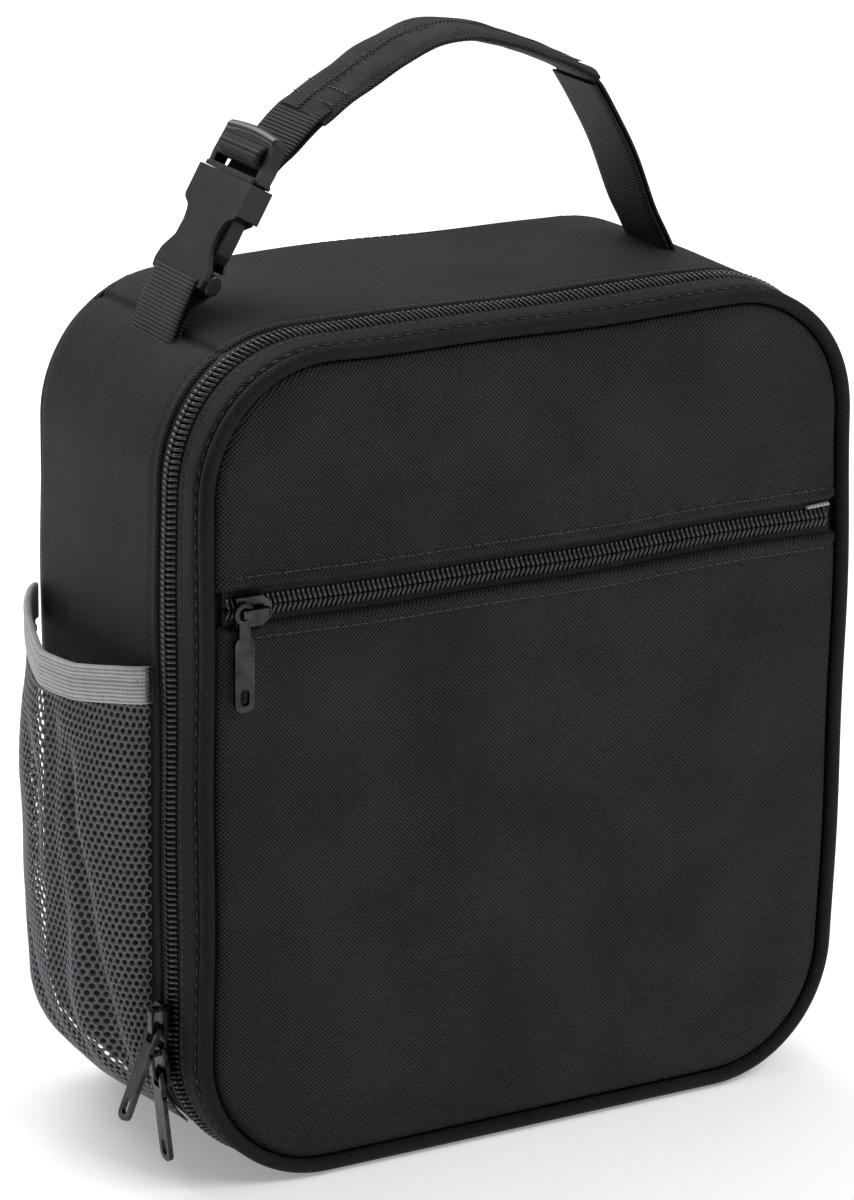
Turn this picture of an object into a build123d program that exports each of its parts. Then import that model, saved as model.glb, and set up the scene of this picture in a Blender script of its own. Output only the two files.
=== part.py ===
from build123d import *
import math
import os

# Front-opening insulated lunch bag, in millimetres. +Z is up, -Y is the front with the lid,
# and the origin is on the floor under the middle of the bag.

# --- Body ---
WIDTH = 218.0
HEIGHT = 250.0
DEPTH = 105.0
CORNER_R = 42.0
FRONT = -DEPTH / 2
BACK = DEPTH / 2
SHELL = 1.2
FOAM = 5.0
LINER = 0.8
LAYER_GAP = 0.3
SEAM_GAP = 0.3
SHOULDER_DEG = 57.0
FOOT_DEG = 45.0
TUB_FRONT = FRONT + 25.6

# --- Main zip, on a ramp that steps in from the tub to the narrower lid ---
CHAIN_Y = FRONT + 19.6
CHAIN_INSET = 1.5
RAMP = 0.2
TAPE = 0.6
COIL_W = 2.9
COIL_H = 1.45
COIL_LIFT = 0.15
CHAIN_SLOT = 0.45
ZIP_END_X = 74.0

# --- Lid ---
LID_INSET = 2.4
WELT_R = 2.1
WELT_INSET = 4.6
PANEL_INSET = 7.0
HINGE_Y = FRONT + 17.0
HINGE_Z = 18.0
LID_CUT_Z = 18.5
FLAP_CUT_Z = 18.2

# --- Front pocket zip ---
POCKET_ZIP_Z = 176.6
POCKET_OPEN = 4.9
POCKET_COIL_W = 2.5
POCKET_SLIDER_X = -92.0

# --- Webbing handle ---
STRAP_Y = 9.5
STRAP_W = 25.0
STRAP_T = 2.4
GRIP_W = 29.0
GRIP_T = 4.8
SWING_Z = 266.0
BUCKLE_X = -80.6
BUCKLE_Z = 256.0
BUCKLE_DEG = 60.5

parts = []


def keep(solid, label):
    solid.label = label
    parts.append(solid)


def outline(inset, mode=Mode.ADD):
    """Rounded outline of the bag seen from the front, stepped in by inset."""
    with Locations((0, HEIGHT / 2)):
        RectangleRounded(WIDTH - 2 * inset, HEIGHT - 2 * inset, CORNER_R - inset, mode=mode)


def plate(y0, y1, inset):
    with BuildPart() as p:
        with BuildSketch(Plane.XZ.offset(-y1)):
            outline(inset)
        extrude(amount=y1 - y0)
    return p.part


def ring(y0, y1, inset, thickness):
    with BuildPart() as p:
        with BuildSketch(Plane.XZ.offset(-y1)):
            outline(inset)
            outline(inset + thickness, mode=Mode.SUBTRACT)
        extrude(amount=y1 - y0)
    return p.part


def ramp_ring(y0, inset0, y1, inset1, thickness):
    """A ring whose inset changes evenly from y0 to y1."""
    with BuildPart() as p:
        for extra, mode in ((0.0, Mode.ADD), (thickness, Mode.SUBTRACT)):
            with BuildSketch(Plane.XZ.offset(-y1)):
                outline(inset1 + extra)
            with BuildSketch(Plane.XZ.offset(-y0)):
                outline(inset0 + extra)
            loft(ruled=True, mode=mode)
    return p.part


def clip(solid, points, keep_inside=True):
    """Keep or remove what lies in a front-view polygon."""
    with BuildPart() as p:
        add(solid)
        with BuildSketch(Plane.XZ.offset(-200)):
            with BuildLine():
                Polyline(*points, close=True)
            make_face()
        extrude(amount=400, mode=Mode.INTERSECT if keep_inside else Mode.SUBTRACT)
    return p.part


def box_points(x0, z0, x1, z1):
    return [(x0, z0), (x1, z0), (x1, z1), (x0, z1)]


# Each wall of the tub is one sector of a ring, cut along a ray from each corner's centre.
FAR = 90.0
CORNER_X = WIDTH / 2 - CORNER_R
TOP_Z = HEIGHT - CORNER_R
FOOT_Z = CORNER_R


def sector(side):
    up = math.radians(SHOULDER_DEG)
    down = math.radians(FOOT_DEG)
    top_out = (CORNER_X + FAR * math.cos(up), TOP_Z + FAR * math.sin(up))
    foot_out = (CORNER_X + FAR * math.cos(down), FOOT_Z - FAR * math.sin(down))
    if side == "top":
        return [(-CORNER_X, TOP_Z + SEAM_GAP), (-top_out[0], top_out[1] + SEAM_GAP),
                (top_out[0], top_out[1] + SEAM_GAP), (CORNER_X, TOP_Z + SEAM_GAP)]
    if side == "bottom":
        return [(-CORNER_X, FOOT_Z - SEAM_GAP), (-foot_out[0], foot_out[1] - SEAM_GAP),
                (foot_out[0], foot_out[1] - SEAM_GAP), (CORNER_X, FOOT_Z - SEAM_GAP)]
    s = -1 if side == "left" else 1
    return [(s * CORNER_X, TOP_Z), (s * top_out[0], top_out[1]),
            (s * foot_out[0], foot_out[1]), (s * CORNER_X, FOOT_Z)]


# --- Tub: fabric panels, foam behind each, liner and the binding on its rim ---
foam_inset = SHELL + LAYER_GAP
liner_inset = foam_inset + FOAM + LAYER_GAP
back_foam_y = BACK - SHELL - LAYER_GAP - FOAM
for side in ("top", "bottom", "left", "right"):
    panel = "panel" if side in ("top", "bottom") else "side_panel"
    shell_ring = ring(TUB_FRONT, BACK - SHELL - LAYER_GAP, 0, SHELL)
    keep(clip(shell_ring, sector(side)), f"{side}_{panel}")
    foam_ring = ring(TUB_FRONT + 2.0, back_foam_y - LAYER_GAP, foam_inset, FOAM)
    keep(clip(foam_ring, sector(side)), f"{side}_foam")
keep(plate(BACK - SHELL, BACK, 0), "back_panel")
keep(plate(back_foam_y, back_foam_y + FOAM, foam_inset), "back_foam")

liner_back = back_foam_y - LAYER_GAP
with BuildPart() as tub_liner:
    add(ring(TUB_FRONT + 2.0, liner_back, liner_inset, LINER))
    add(plate(liner_back - LINER, liner_back, liner_inset))
keep(tub_liner.part, "tub_liner")
keep(ring(TUB_FRONT - 0.8, TUB_FRONT + 1.7, foam_inset, liner_inset + LINER - foam_inset), "rim_binding")


# --- Main zip: two tapes and two coils with a slot between them for the sliders ---
def chain_inset(y):
    return CHAIN_INSET - RAMP * (y - CHAIN_Y)


def chain_ring(y0, y1, lift, thickness):
    """A strip of the zip between y0 and y1, its outer face lift above the tape."""
    return ramp_ring(y0, chain_inset(y0) - lift, y1, chain_inset(y1) - lift, thickness)


tub_edge = CHAIN_Y + CHAIN_SLOT
lid_edge = CHAIN_Y - CHAIN_SLOT
tub_tape = chain_ring(tub_edge, TUB_FRONT - 1.0, 0, TAPE)
tub_coil = chain_ring(tub_edge, tub_edge + COIL_W, COIL_LIFT + COIL_H, COIL_H)
lid_tape = chain_ring(FRONT + 15.3, lid_edge, 0, TAPE)
lid_coil = chain_ring(lid_edge - COIL_W, lid_edge, COIL_LIFT + COIL_H, COIL_H)
between_ends = box_points(-ZIP_END_X, -20, ZIP_END_X, 30)
above_cut = box_points(-200, LID_CUT_Z, 200, 300)
keep(clip(tub_tape, between_ends, keep_inside=False), "tub_zip_tape")
keep(clip(tub_coil, between_ends, keep_inside=False), "tub_zip_coil")
keep(clip(lid_tape, above_cut), "lid_zip_tape")
keep(clip(lid_coil, above_cut), "lid_zip_coil")
for side, s in (("left", -1), ("right", 1)):
    corner = box_points(min(s * ZIP_END_X, s * 200), -20, max(s * ZIP_END_X, s * 200), FLAP_CUT_Z)
    with BuildPart() as zip_end:
        add(clip(lid_tape, corner))
        add(clip(lid_coil, corner))
    keep(zip_end.part, f"zip_end_{side}")

# --- Lid: gusset, welt, front panels, pocket back, foam and liner ---
lid_gusset = ring(FRONT + 5.0, FRONT + 15.0, LID_INSET, SHELL)
keep(clip(lid_gusset, above_cut), "lid_gusset")
below_cut = box_points(-200, -20, 200, FLAP_CUT_Z)
with BuildPart() as hinge_gusset:
    add(clip(lid_gusset, below_cut))
    with BuildSketch(Plane.XZ.offset(-(TUB_FRONT - 1.2))):
        with Locations((0, LID_INSET + SHELL / 2)):
            Rectangle(2 * ZIP_END_X - 2, SHELL)
    extrude(amount=9.2)
keep(hinge_gusset.part, "hinge_gusset")


def welt_ring():
    half = WIDTH / 2 - WELT_INSET
    with BuildPart() as p:
        with BuildLine(Plane.XZ.offset(-(FRONT + 2.6))) as path:
            FilletPolyline((-half, WELT_INSET), (half, WELT_INSET), (half, HEIGHT - WELT_INSET),
                           (-half, HEIGHT - WELT_INSET), radius=CORNER_R - WELT_INSET, close=True)
        with BuildSketch(Plane(origin=path.line @ 0, z_dir=path.line % 0)):
            Circle(WELT_R)
        sweep()
    return p.part


keep(clip(welt_ring(), above_cut), "lid_welt")
keep(clip(welt_ring(), below_cut), "hinge_welt")

front_plate = plate(FRONT + 1.0, FRONT + 2.0, PANEL_INSET)
upper_edge = POCKET_ZIP_Z + POCKET_OPEN
lower_edge = POCKET_ZIP_Z - POCKET_OPEN
keep(clip(front_plate, box_points(-200, upper_edge, 200, 300)), "lid_upper_panel")
keep(clip(front_plate, box_points(-200, LID_CUT_Z, 200, lower_edge)), "pocket_panel")
keep(clip(front_plate, below_cut), "hinge_panel")
keep(clip(plate(FRONT + 5.1, FRONT + 5.8, PANEL_INSET), above_cut), "pocket_back")
keep(clip(plate(FRONT + 6.2, FRONT + 11.2, LID_INSET + SHELL + LAYER_GAP), above_cut), "lid_foam")
keep(clip(plate(FRONT + 11.5, FRONT + 12.3, LID_INSET + SHELL + LAYER_GAP), above_cut), "lid_liner")

# --- Front pocket zip ---
coil_half = WIDTH / 2 - PANEL_INSET - 1.0
for side, s in (("upper", 1), ("lower", -1)):
    z_near = POCKET_ZIP_Z + s * CHAIN_SLOT
    with BuildPart() as pocket_tape:
        with Locations((0, FRONT + 2.6, z_near + s * 4.5)):
            Box(2 * coil_half, TAPE, 9.0)
    keep(pocket_tape.part, f"pocket_tape_{side}")
    with BuildPart() as pocket_coil:
        with Locations((0, FRONT + 1.4, z_near + s * POCKET_COIL_W / 2)):
            Box(2 * coil_half - 6, 1.5, POCKET_COIL_W)
    keep(pocket_coil.part, f"pocket_coil_{side}")
for side, s in (("left", -1), ("right", 1)):
    with BuildPart() as pocket_stop:
        with Locations((s * (coil_half - 1.4), FRONT + 1.4, POCKET_ZIP_Z)):
            Box(2.4, 1.5, 2 * (CHAIN_SLOT + POCKET_COIL_W))
    keep(pocket_stop.part, f"pocket_stop_{side}")


# --- Sliders: a top plate, one flange and a lower plate joined by a fin in the chain's slot ---
# In a slider's plane, x runs across the chain towards the lid side, y along the chain, z outwards.
SLIDER_L = 11.0
SLIDER_W = 8.8
PLATE_T = 1.1
ARCH_RISE = 1.9
ARCH_T = 1.0
ARCH_CHAMFER = 1.0
ARCH_W = 2.6
ARCH_HALF = 4.2
LEG_T = 1.1
FIN_T = 0.4
FLANGE_T = 0.6
PULL_LIFT = PLATE_T + ARCH_RISE / 2
MAIN_PLATE_Z = 3.3
POCKET_PLATE_Z = 2.1


def block(at, x0, x1, y0, y1, z0, z1):
    """A box in the plane at, added to the part being built."""
    middle = Location(((x0 + x1) / 2, (y0 + y1) / 2, (z0 + z1) / 2))
    with Locations(at.location * middle):
        Box(x1 - x0, y1 - y0, z1 - z0)


def slider(at, plate_z, flange_z, lower_z):
    plate_top = plate_z + PLATE_T
    with BuildPart() as p:
        with BuildSketch(at.offset(plate_z)):
            with BuildLine():
                Polyline((-SLIDER_W / 2, -SLIDER_L / 2), (SLIDER_W / 2, -SLIDER_L / 2),
                         (SLIDER_W / 2, SLIDER_L / 4), (SLIDER_W / 4, SLIDER_L / 2),
                         (-SLIDER_W / 4, SLIDER_L / 2), (-SLIDER_W / 2, SLIDER_L / 4), close=True)
            make_face()
        extrude(amount=PLATE_T)
        block(at, -SLIDER_W / 2, -SLIDER_W / 2 + FLANGE_T, -SLIDER_L / 2, SLIDER_L / 4, flange_z, plate_z)
        block(at, -FIN_T / 2, FIN_T / 2, -SLIDER_L / 2 + 1, SLIDER_L / 2 - 1, lower_z - 1.0, plate_z)
        block(at, -SLIDER_W / 2 + 0.4, 1.6, -SLIDER_L / 2 + 1, SLIDER_L / 2 - 1, lower_z - 1.0, lower_z)
        arch_top = plate_top + ARCH_RISE + ARCH_T
        shoulder = arch_top - ARCH_CHAMFER
        with BuildSketch(Plane(origin=at.origin - at.x_dir * (ARCH_W / 2), x_dir=at.y_dir, z_dir=at.x_dir)):
            with BuildLine():
                Polyline((-ARCH_HALF, plate_top), (-ARCH_HALF, shoulder), (-ARCH_HALF + ARCH_CHAMFER, arch_top),
                         (ARCH_HALF - ARCH_CHAMFER, arch_top), (ARCH_HALF, shoulder),
                         (ARCH_HALF, plate_top), close=True)
            make_face()
            with Locations((0, plate_top + ARCH_RISE / 2)):
                Rectangle(2 * (ARCH_HALF - LEG_T), ARCH_RISE, mode=Mode.SUBTRACT)
        extrude(amount=ARCH_W)
    return p.part


PULL_W = 6.0
PULL_L = 28.5
PULL_T = 1.4
BODY_L = 22.0
BAR_R = 0.65
BAR_LEN = 6.0
ARM_W = 1.3
RING_R = 3.1
RING_HOLE_R = 1.9


def pull_body(neck_top, neck_w):
    """The flat of a pull tab below its pivot, drawn in the tab's own plane."""
    body_top = -(PULL_L - BODY_L)
    with Locations((0, (neck_top + body_top) / 2 - 0.6)):
        Rectangle(neck_w, neck_top - body_top + 1.2)
    with Locations((0, body_top - BODY_L / 2)):
        RectangleRounded(PULL_W, BODY_L, 2.4)
    with Locations((0, -PULL_L + 4.2)):
        RectangleRounded(2.8, 4.8, 1.2, mode=Mode.SUBTRACT)


def bar_pull(at):
    """A pull tab on a bar under a slider's arch; at lies on the bar, y up the tab."""
    with BuildPart() as p:
        with BuildSketch(at.offset(-PULL_T / 2)):
            pull_body(-4.6, PULL_W - 1.0)
            for s in (-1, 1):
                with Locations((s * (BAR_LEN - ARM_W) / 2, -2.6)):
                    Rectangle(ARM_W, 5.2)
        extrude(amount=PULL_T)
        with Locations(at.location):
            Cylinder(BAR_R, BAR_LEN, rotation=(0, 90, 0))
    return p.part


def ring_pull(at):
    """A pull tab whose ring is round a leg of a slider's arch; at lies on the leg, y up the tab."""
    with BuildPart() as p:
        with BuildSketch(at.offset(-PULL_T / 2)):
            Circle(RING_R)
            pull_body(-RING_R + 0.4, 3.4)
            Circle(RING_HOLE_R, mode=Mode.SUBTRACT)
        extrude(amount=PULL_T)
    return p.part


def placed(at, dx, dy, dz, rotation):
    """The plane at, moved and turned in its own axes."""
    return Plane(at.location * Location((dx, dy, dz), rotation))


UPPER_Z = 50.5
UPPER_LIFT = 21.5
LOWER_DEG = 6.5
BAR_Y = -2.0
chain_x = WIDTH / 2 - CHAIN_INSET


def chain_plane(z, turn_deg):
    """The plane of the left run of the main zip; turn_deg follows the lower corner's arc."""
    turn = math.radians(turn_deg)
    arc_r = chain_x - CORNER_X
    x = -CORNER_X - arc_r * math.cos(turn)
    return Plane(origin=(x, CHAIN_Y, z - arc_r * math.sin(turn)), x_dir=(0, -1, 0),
                 z_dir=(-math.cos(turn), 0, -math.sin(turn)))


upper_at = chain_plane(UPPER_Z, 0)
lower_at = chain_plane(FOOT_Z, LOWER_DEG)
keep(slider(upper_at, MAIN_PLATE_Z, 2.25, -1.9), "upper_slider")
keep(slider(lower_at, MAIN_PLATE_Z, 2.25, -1.9), "lower_slider")
main_pull_z = MAIN_PLATE_Z + PULL_LIFT
keep(bar_pull(placed(upper_at, 0, BAR_Y, main_pull_z, (-UPPER_LIFT, 0, 0))), "upper_pull")
keep(bar_pull(placed(lower_at, 0, BAR_Y, main_pull_z, (0, 0, 0))), "lower_pull")

# The pocket's slider lies along the zip, and its tab hangs from the leg at the slider's left end.
pocket_at = Plane(origin=(POCKET_SLIDER_X, FRONT + 2.3, POCKET_ZIP_Z), x_dir=(0, 0, -1), z_dir=(0, -1, 0))
leg_y = -ARCH_HALF + LEG_T / 2
keep(slider(pocket_at, POCKET_PLATE_Z, 0.5, -1.2), "pocket_slider")
keep(ring_pull(placed(pocket_at, 0, leg_y, POCKET_PLATE_Z + PULL_LIFT, (0, 0, 90))), "pocket_pull")

# --- Mesh pocket on the left side, with its elastic binding ---
POCKET_FRONT = FRONT + 27.0
POCKET_BACK = BACK - 1.5
POCKET_BULGE = 17.0
POCKET_FLOOR = 14.0
MESH_TOP = 142.0
BINDING_TOP = 153.0
MESH = 1.0
BINDING = 2.2
SIDE_X = -WIDTH / 2 - LAYER_GAP


def pouch(bulge, z0, z1):
    """A solid bulge on the left side, closed against the side panel."""
    mid = (POCKET_FRONT + POCKET_BACK) / 2
    grow = POCKET_BULGE - bulge
    with BuildPart() as p:
        with BuildSketch(Plane.XY.offset(z0)):
            with BuildLine():
                ThreePointArc((SIDE_X, POCKET_FRONT + grow), (SIDE_X - bulge, mid),
                              (SIDE_X, POCKET_BACK - grow))
                Line((SIDE_X, POCKET_BACK - grow), (SIDE_X, POCKET_FRONT + grow))
            make_face()
        extrude(amount=z1 - z0)
    return p.part


with BuildPart() as mesh_pocket:
    add(pouch(POCKET_BULGE, POCKET_FLOOR, MESH_TOP))
    add(pouch(POCKET_BULGE - MESH, POCKET_FLOOR + MESH, MESH_TOP), mode=Mode.SUBTRACT)
keep(mesh_pocket.part, "mesh_pocket")
with BuildPart() as mesh_binding:
    add(pouch(POCKET_BULGE, MESH_TOP + LAYER_GAP, BINDING_TOP))
    add(pouch(POCKET_BULGE - BINDING, MESH_TOP + LAYER_GAP, BINDING_TOP), mode=Mode.SUBTRACT)
keep(mesh_binding.part, "mesh_binding")


# --- Handle: webbing anchors in the shoulder seams, straps and the fabric grip ---
def ribbon(points, thickness, width):
    """A strap along a front-view centre line, width wide across the bag."""
    upper, lower = [], []
    for i, (x, z) in enumerate(points):
        x0, z0 = points[max(i - 1, 0)]
        x1, z1 = points[min(i + 1, len(points) - 1)]
        length = math.hypot(x1 - x0, z1 - z0)
        nx, nz = -(z1 - z0) / length, (x1 - x0) / length
        upper.append((x + nx * thickness / 2, z + nz * thickness / 2))
        lower.append((x - nx * thickness / 2, z - nz * thickness / 2))
    with BuildPart() as p:
        with BuildSketch(Plane.XZ.offset(-(STRAP_Y + width / 2))):
            with BuildLine():
                Spline(*upper)
                Line(upper[-1], lower[-1])
                Spline(*lower[::-1])
                Line(lower[0], upper[0])
            make_face()
        extrude(amount=width)
    return p.part


GRIP_LINE = [(-43, 300), (-31, 307.5), (-18.6, 314.5), (-8, 319), (1, 320), (10, 318.6),
             (20, 315.3), (33, 310.2), (45, 304.4)]
keep(ribbon(GRIP_LINE, GRIP_T, GRIP_W), "grip_sleeve")
keep(ribbon([(45.6, 303.8), (52, 294), (59.5, 280.5), (66.2, 264.2)], STRAP_T, STRAP_W), "strap_right")
keep(ribbon([(66.6, 263.4), (69.8, 257), (73.4, 250.9)], STRAP_T, STRAP_W), "right_anchor")
keep(ribbon([(-88.9, 245.4), (-87.1, 249.6), (-85.2, 253.7)], STRAP_T, STRAP_W), "left_anchor")

# --- Side-release buckle, in the plane of its broad face: x across the strap, y up the strap ---
lean = math.radians(BUCKLE_DEG)
along = (math.cos(lean), 0, math.sin(lean))
buckle = Plane(origin=(BUCKLE_X, STRAP_Y, BUCKLE_Z), x_dir=(0, -1, 0),
               z_dir=(-math.sin(lean), 0, math.cos(lean)))
SOCKET_L = 31.0
SOCKET_W = 31.0
SOCKET_T = 7.8
BAR_W = 28.4
RAIL = 1.4
BAR_Z = 1.5
THROAT = 6.0
CAVITY_W = 26.4
CAVITY_Z = 2.9
with BuildPart() as buckle_socket:
    with BuildSketch(buckle.offset(-SOCKET_T / 2)):
        with BuildLine():
            Polyline((-BAR_W / 2, THROAT), (BAR_W / 2, THROAT), (SOCKET_W / 2, THROAT + 3.5),
                     (SOCKET_W / 2, SOCKET_L), (-SOCKET_W / 2, SOCKET_L),
                     (-SOCKET_W / 2, THROAT + 3.5), close=True)
        make_face()
    extrude(amount=SOCKET_T)
    broad = buckle_socket.edges().filter_by(lambda e: abs((e % 0.5).dot(Vector(0, 1, 0))) > 0.99
                                            and e.length > 20)
    fillet(broad, 1.2)
    block(buckle, -BAR_W / 2, -BAR_W / 2 + RAIL, 0, THROAT, -BAR_Z, BAR_Z)
    block(buckle, BAR_W / 2 - RAIL, BAR_W / 2, 0, THROAT, -BAR_Z, BAR_Z)
    block(buckle, -BAR_W / 2, BAR_W / 2, 0, 2.0, -BAR_Z, BAR_Z)
    with BuildSketch(buckle.offset(-CAVITY_Z)):
        with Locations((0, (9.0 + SOCKET_L) / 2)):
            Rectangle(CAVITY_W, SOCKET_L - 9.0)
        with Locations((0, 18.0)):
            SlotOverall(SOCKET_W + 12, 11.0)
    extrude(amount=2 * CAVITY_Z, mode=Mode.SUBTRACT)
keep(buckle_socket.part, "buckle_socket")

PLUG_FOOT = SOCKET_L + 0.4
PLUG_TOP = 45.6
PLUG_W = 30.0
RAIL_W = 1.9
with BuildPart() as buckle_plug:
    block(buckle, -14.0, 14.0, PLUG_FOOT, PLUG_FOOT + 3.6, -3.7, 3.7)
    block(buckle, -PLUG_W / 2, PLUG_W / 2, PLUG_FOOT + 3.6, PLUG_FOOT + 4.8, -3.0, 3.0)
    for s in (-1, 1):
        rail = sorted((s * (PLUG_W / 2 - RAIL_W), s * PLUG_W / 2))
        block(buckle, rail[0], rail[1], PLUG_FOOT + 4.8, PLUG_TOP, -2.0, 2.0)
    block(buckle, -PLUG_W / 2, PLUG_W / 2, PLUG_TOP - 7.5, PLUG_TOP - 5.5, -1.3, 1.3)
    block(buckle, -PLUG_W / 2, PLUG_W / 2, PLUG_TOP - 2.0, PLUG_TOP, -2.0, 2.0)
    block(buckle, -1.6, 1.6, 12.5, PLUG_FOOT, -1.6, 1.6)
keep(buckle_plug.part, "buckle_plug")

PRONG_TOP = PLUG_FOOT - 0.4
for label, s in (("front_prong", 1), ("rear_prong", -1)):
    with BuildPart() as prong:
        with BuildSketch(buckle.offset(-2.2)):
            with BuildLine():
                Polyline((s * 10.3, PRONG_TOP), (s * 12.2, PRONG_TOP), (s * 12.2, 24.5),
                         (s * 12.9, 23.0), (s * 12.9, 16.0), (s * 11.6, 12.6), (s * 10.2, 12.6),
                         (s * 9.8, 16.0), close=True)
            make_face()
        extrude(amount=4.4)
    keep(prong.part, label)


def webbing_loop(y0, y1, z_half, thickness):
    """Webbing folded round a bar that lies between y0 and y1."""
    with BuildPart() as p:
        with BuildSketch(Plane(origin=buckle.origin + buckle.x_dir * (-STRAP_W / 2),
                               x_dir=along, z_dir=buckle.x_dir)):
            with Locations(((y0 + y1) / 2, 0)):
                RectangleRounded(y1 - y0 + 2 * thickness, 2 * (z_half + thickness), 1.5)
                RectangleRounded(y1 - y0, 2 * z_half, 0.8, mode=Mode.SUBTRACT)
        extrude(amount=STRAP_W)
    return p.part


keep(webbing_loop(-0.3, 2.3, 1.7, 1.1), "left_loop")
keep(webbing_loop(PLUG_TOP - 7.8, PLUG_TOP - 5.2, 1.6, 1.4), "plug_loop")
keep(ribbon([(-58.4, 285.9), (-54.5, 290.1), (-49.5, 295.1), (-44.6, 299.0)], STRAP_T, STRAP_W),
     "strap_left")

os.makedirs("parts", exist_ok=True)
for solid in parts:
    export_step(solid, f"parts/{solid.label}.step")
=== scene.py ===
import math

import bpy
import numpy as np
from mathutils import Matrix, Vector


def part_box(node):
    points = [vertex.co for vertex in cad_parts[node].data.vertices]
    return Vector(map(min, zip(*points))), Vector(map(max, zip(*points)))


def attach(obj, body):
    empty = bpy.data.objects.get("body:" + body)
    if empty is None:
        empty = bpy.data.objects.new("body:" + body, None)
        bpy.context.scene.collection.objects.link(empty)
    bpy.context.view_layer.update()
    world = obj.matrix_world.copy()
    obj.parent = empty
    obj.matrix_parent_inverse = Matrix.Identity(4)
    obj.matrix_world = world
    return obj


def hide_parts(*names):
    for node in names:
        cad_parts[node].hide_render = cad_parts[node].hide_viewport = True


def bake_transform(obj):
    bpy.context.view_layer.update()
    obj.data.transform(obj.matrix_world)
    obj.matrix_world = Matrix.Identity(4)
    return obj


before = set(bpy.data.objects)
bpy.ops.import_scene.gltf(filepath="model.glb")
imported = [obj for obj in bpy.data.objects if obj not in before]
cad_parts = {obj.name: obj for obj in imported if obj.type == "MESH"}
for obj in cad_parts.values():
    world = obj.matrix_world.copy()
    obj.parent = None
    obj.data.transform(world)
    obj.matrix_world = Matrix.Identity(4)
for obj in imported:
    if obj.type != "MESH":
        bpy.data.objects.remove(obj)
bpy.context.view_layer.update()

MM = 0.001

# ---------------------------------------------------------------- sizes, in millimetres
back_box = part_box("back_panel")
WIDTH = (back_box[1][0] - back_box[0][0]) / MM
HEIGHT = back_box[1][2] / MM
BACK = back_box[1][1] / MM
FRONT = -BACK
CORNER_R = 42.0
CORNER_X = WIDTH / 2 - CORNER_R
TUB_FRONT = FRONT + 25.6
CHAIN_Y = FRONT + 19.6
CHAIN_INSET = 1.3
RAMP = 0.12
LID_NARROW = 1.2
POCKET_Z = (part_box("pocket_slider")[0][2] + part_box("pocket_slider")[1][2]) / 2 / MM

# ---------------------------------------------------------------- camera
LENS = 144.6957
YAW, PITCH, ROLL = math.radians(-29.53), math.radians(18.12), math.radians(0.8)
back_dir = Vector((math.sin(YAW) * math.cos(PITCH), -math.cos(YAW) * math.cos(PITCH), math.sin(PITCH)))
right = (-back_dir).cross(Vector((0, 0, 1))).normalized()
up = right.cross(-back_dir)
right_r = right * math.cos(ROLL) + up * math.sin(ROLL)
up_r = up * math.cos(ROLL) - right * math.sin(ROLL)
camera = bpy.data.objects.new("camera", bpy.data.cameras.new("camera"))
bpy.context.scene.collection.objects.link(camera)
camera.data.sensor_fit = "AUTO"
camera.data.sensor_width = 36.0
camera.data.lens = LENS
camera.data.clip_end = 50
place = (Vector((-8.45, -2.5, 152.65)) + back_dir * 1419.43) * MM
camera.matrix_world = Matrix.Translation(place) @ Matrix((right_r, up_r, back_dir)).transposed().to_4x4()
bpy.context.scene.camera = camera


# ---------------------------------------------------------------- node helpers
class Nodes:
    """Short notation for a procedural material."""

    def __init__(self, name):
        self.mat = bpy.data.materials.new(name)
        self.mat.use_nodes = True
        self.tree = self.mat.node_tree
        self.shader = self.tree.nodes["Principled BSDF"]

    def node(self, kind, **values):
        n = self.tree.nodes.new(kind)
        for key, value in values.items():
            if key in n.inputs:
                self.put(n.inputs[key], value)
            else:
                setattr(n, key, value)
        return n

    def put(self, socket, value):
        if isinstance(value, bpy.types.NodeSocket):
            self.tree.links.new(value, socket)
        else:
            socket.default_value = value

    def math(self, op, a, b=0.0, c=0.0):
        n = self.tree.nodes.new("ShaderNodeMath")
        n.operation = op
        for socket, value in zip(n.inputs, (a, b, c)):
            self.put(socket, value)
        return n.outputs[0]

    def uv(self):
        n = self.tree.nodes.new("ShaderNodeUVMap")
        n.uv_map = "mm"
        s = self.tree.nodes.new("ShaderNodeSeparateXYZ")
        self.tree.links.new(n.outputs[0], s.inputs[0])
        return s.outputs[0], s.outputs[1]

    def wave(self, x, pitch, phase=0.0):
        """A sine of pitch millimetres along x."""
        return self.math("SINE", self.math("MULTIPLY_ADD", x, 2 * math.pi / pitch, phase))

    def noise(self, scale, detail=3.0, rough=0.55, vector=None):
        n = self.node("ShaderNodeTexNoise", Scale=scale, Detail=detail, Roughness=rough)
        if vector is None:
            vector = self.node("ShaderNodeTexCoord").outputs["Object"]
        self.tree.links.new(vector, n.inputs["Vector"])
        return n.outputs[0]

    def ramp(self, fac, stops):
        n = self.tree.nodes.new("ShaderNodeValToRGB")
        self.tree.links.new(fac, n.inputs[0])
        while len(n.color_ramp.elements) < len(stops):
            n.color_ramp.elements.new(0.5)
        for element, (at, colour) in zip(n.color_ramp.elements, stops):
            element.position = at
            element.color = (*colour, 1.0)
        return n.outputs[0]

    def bump(self, height, distance, strength=1.0, below=None):
        n = self.node("ShaderNodeBump", Strength=strength, Distance=distance * MM)
        self.tree.links.new(height, n.inputs["Height"])
        if below is not None:
            self.tree.links.new(below, n.inputs["Normal"])
        return n.outputs[0]

    def finish(self, **sockets):
        for key, value in sockets.items():
            self.put(self.shader.inputs[key.replace("_", " ")], value)
        return self.mat


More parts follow.
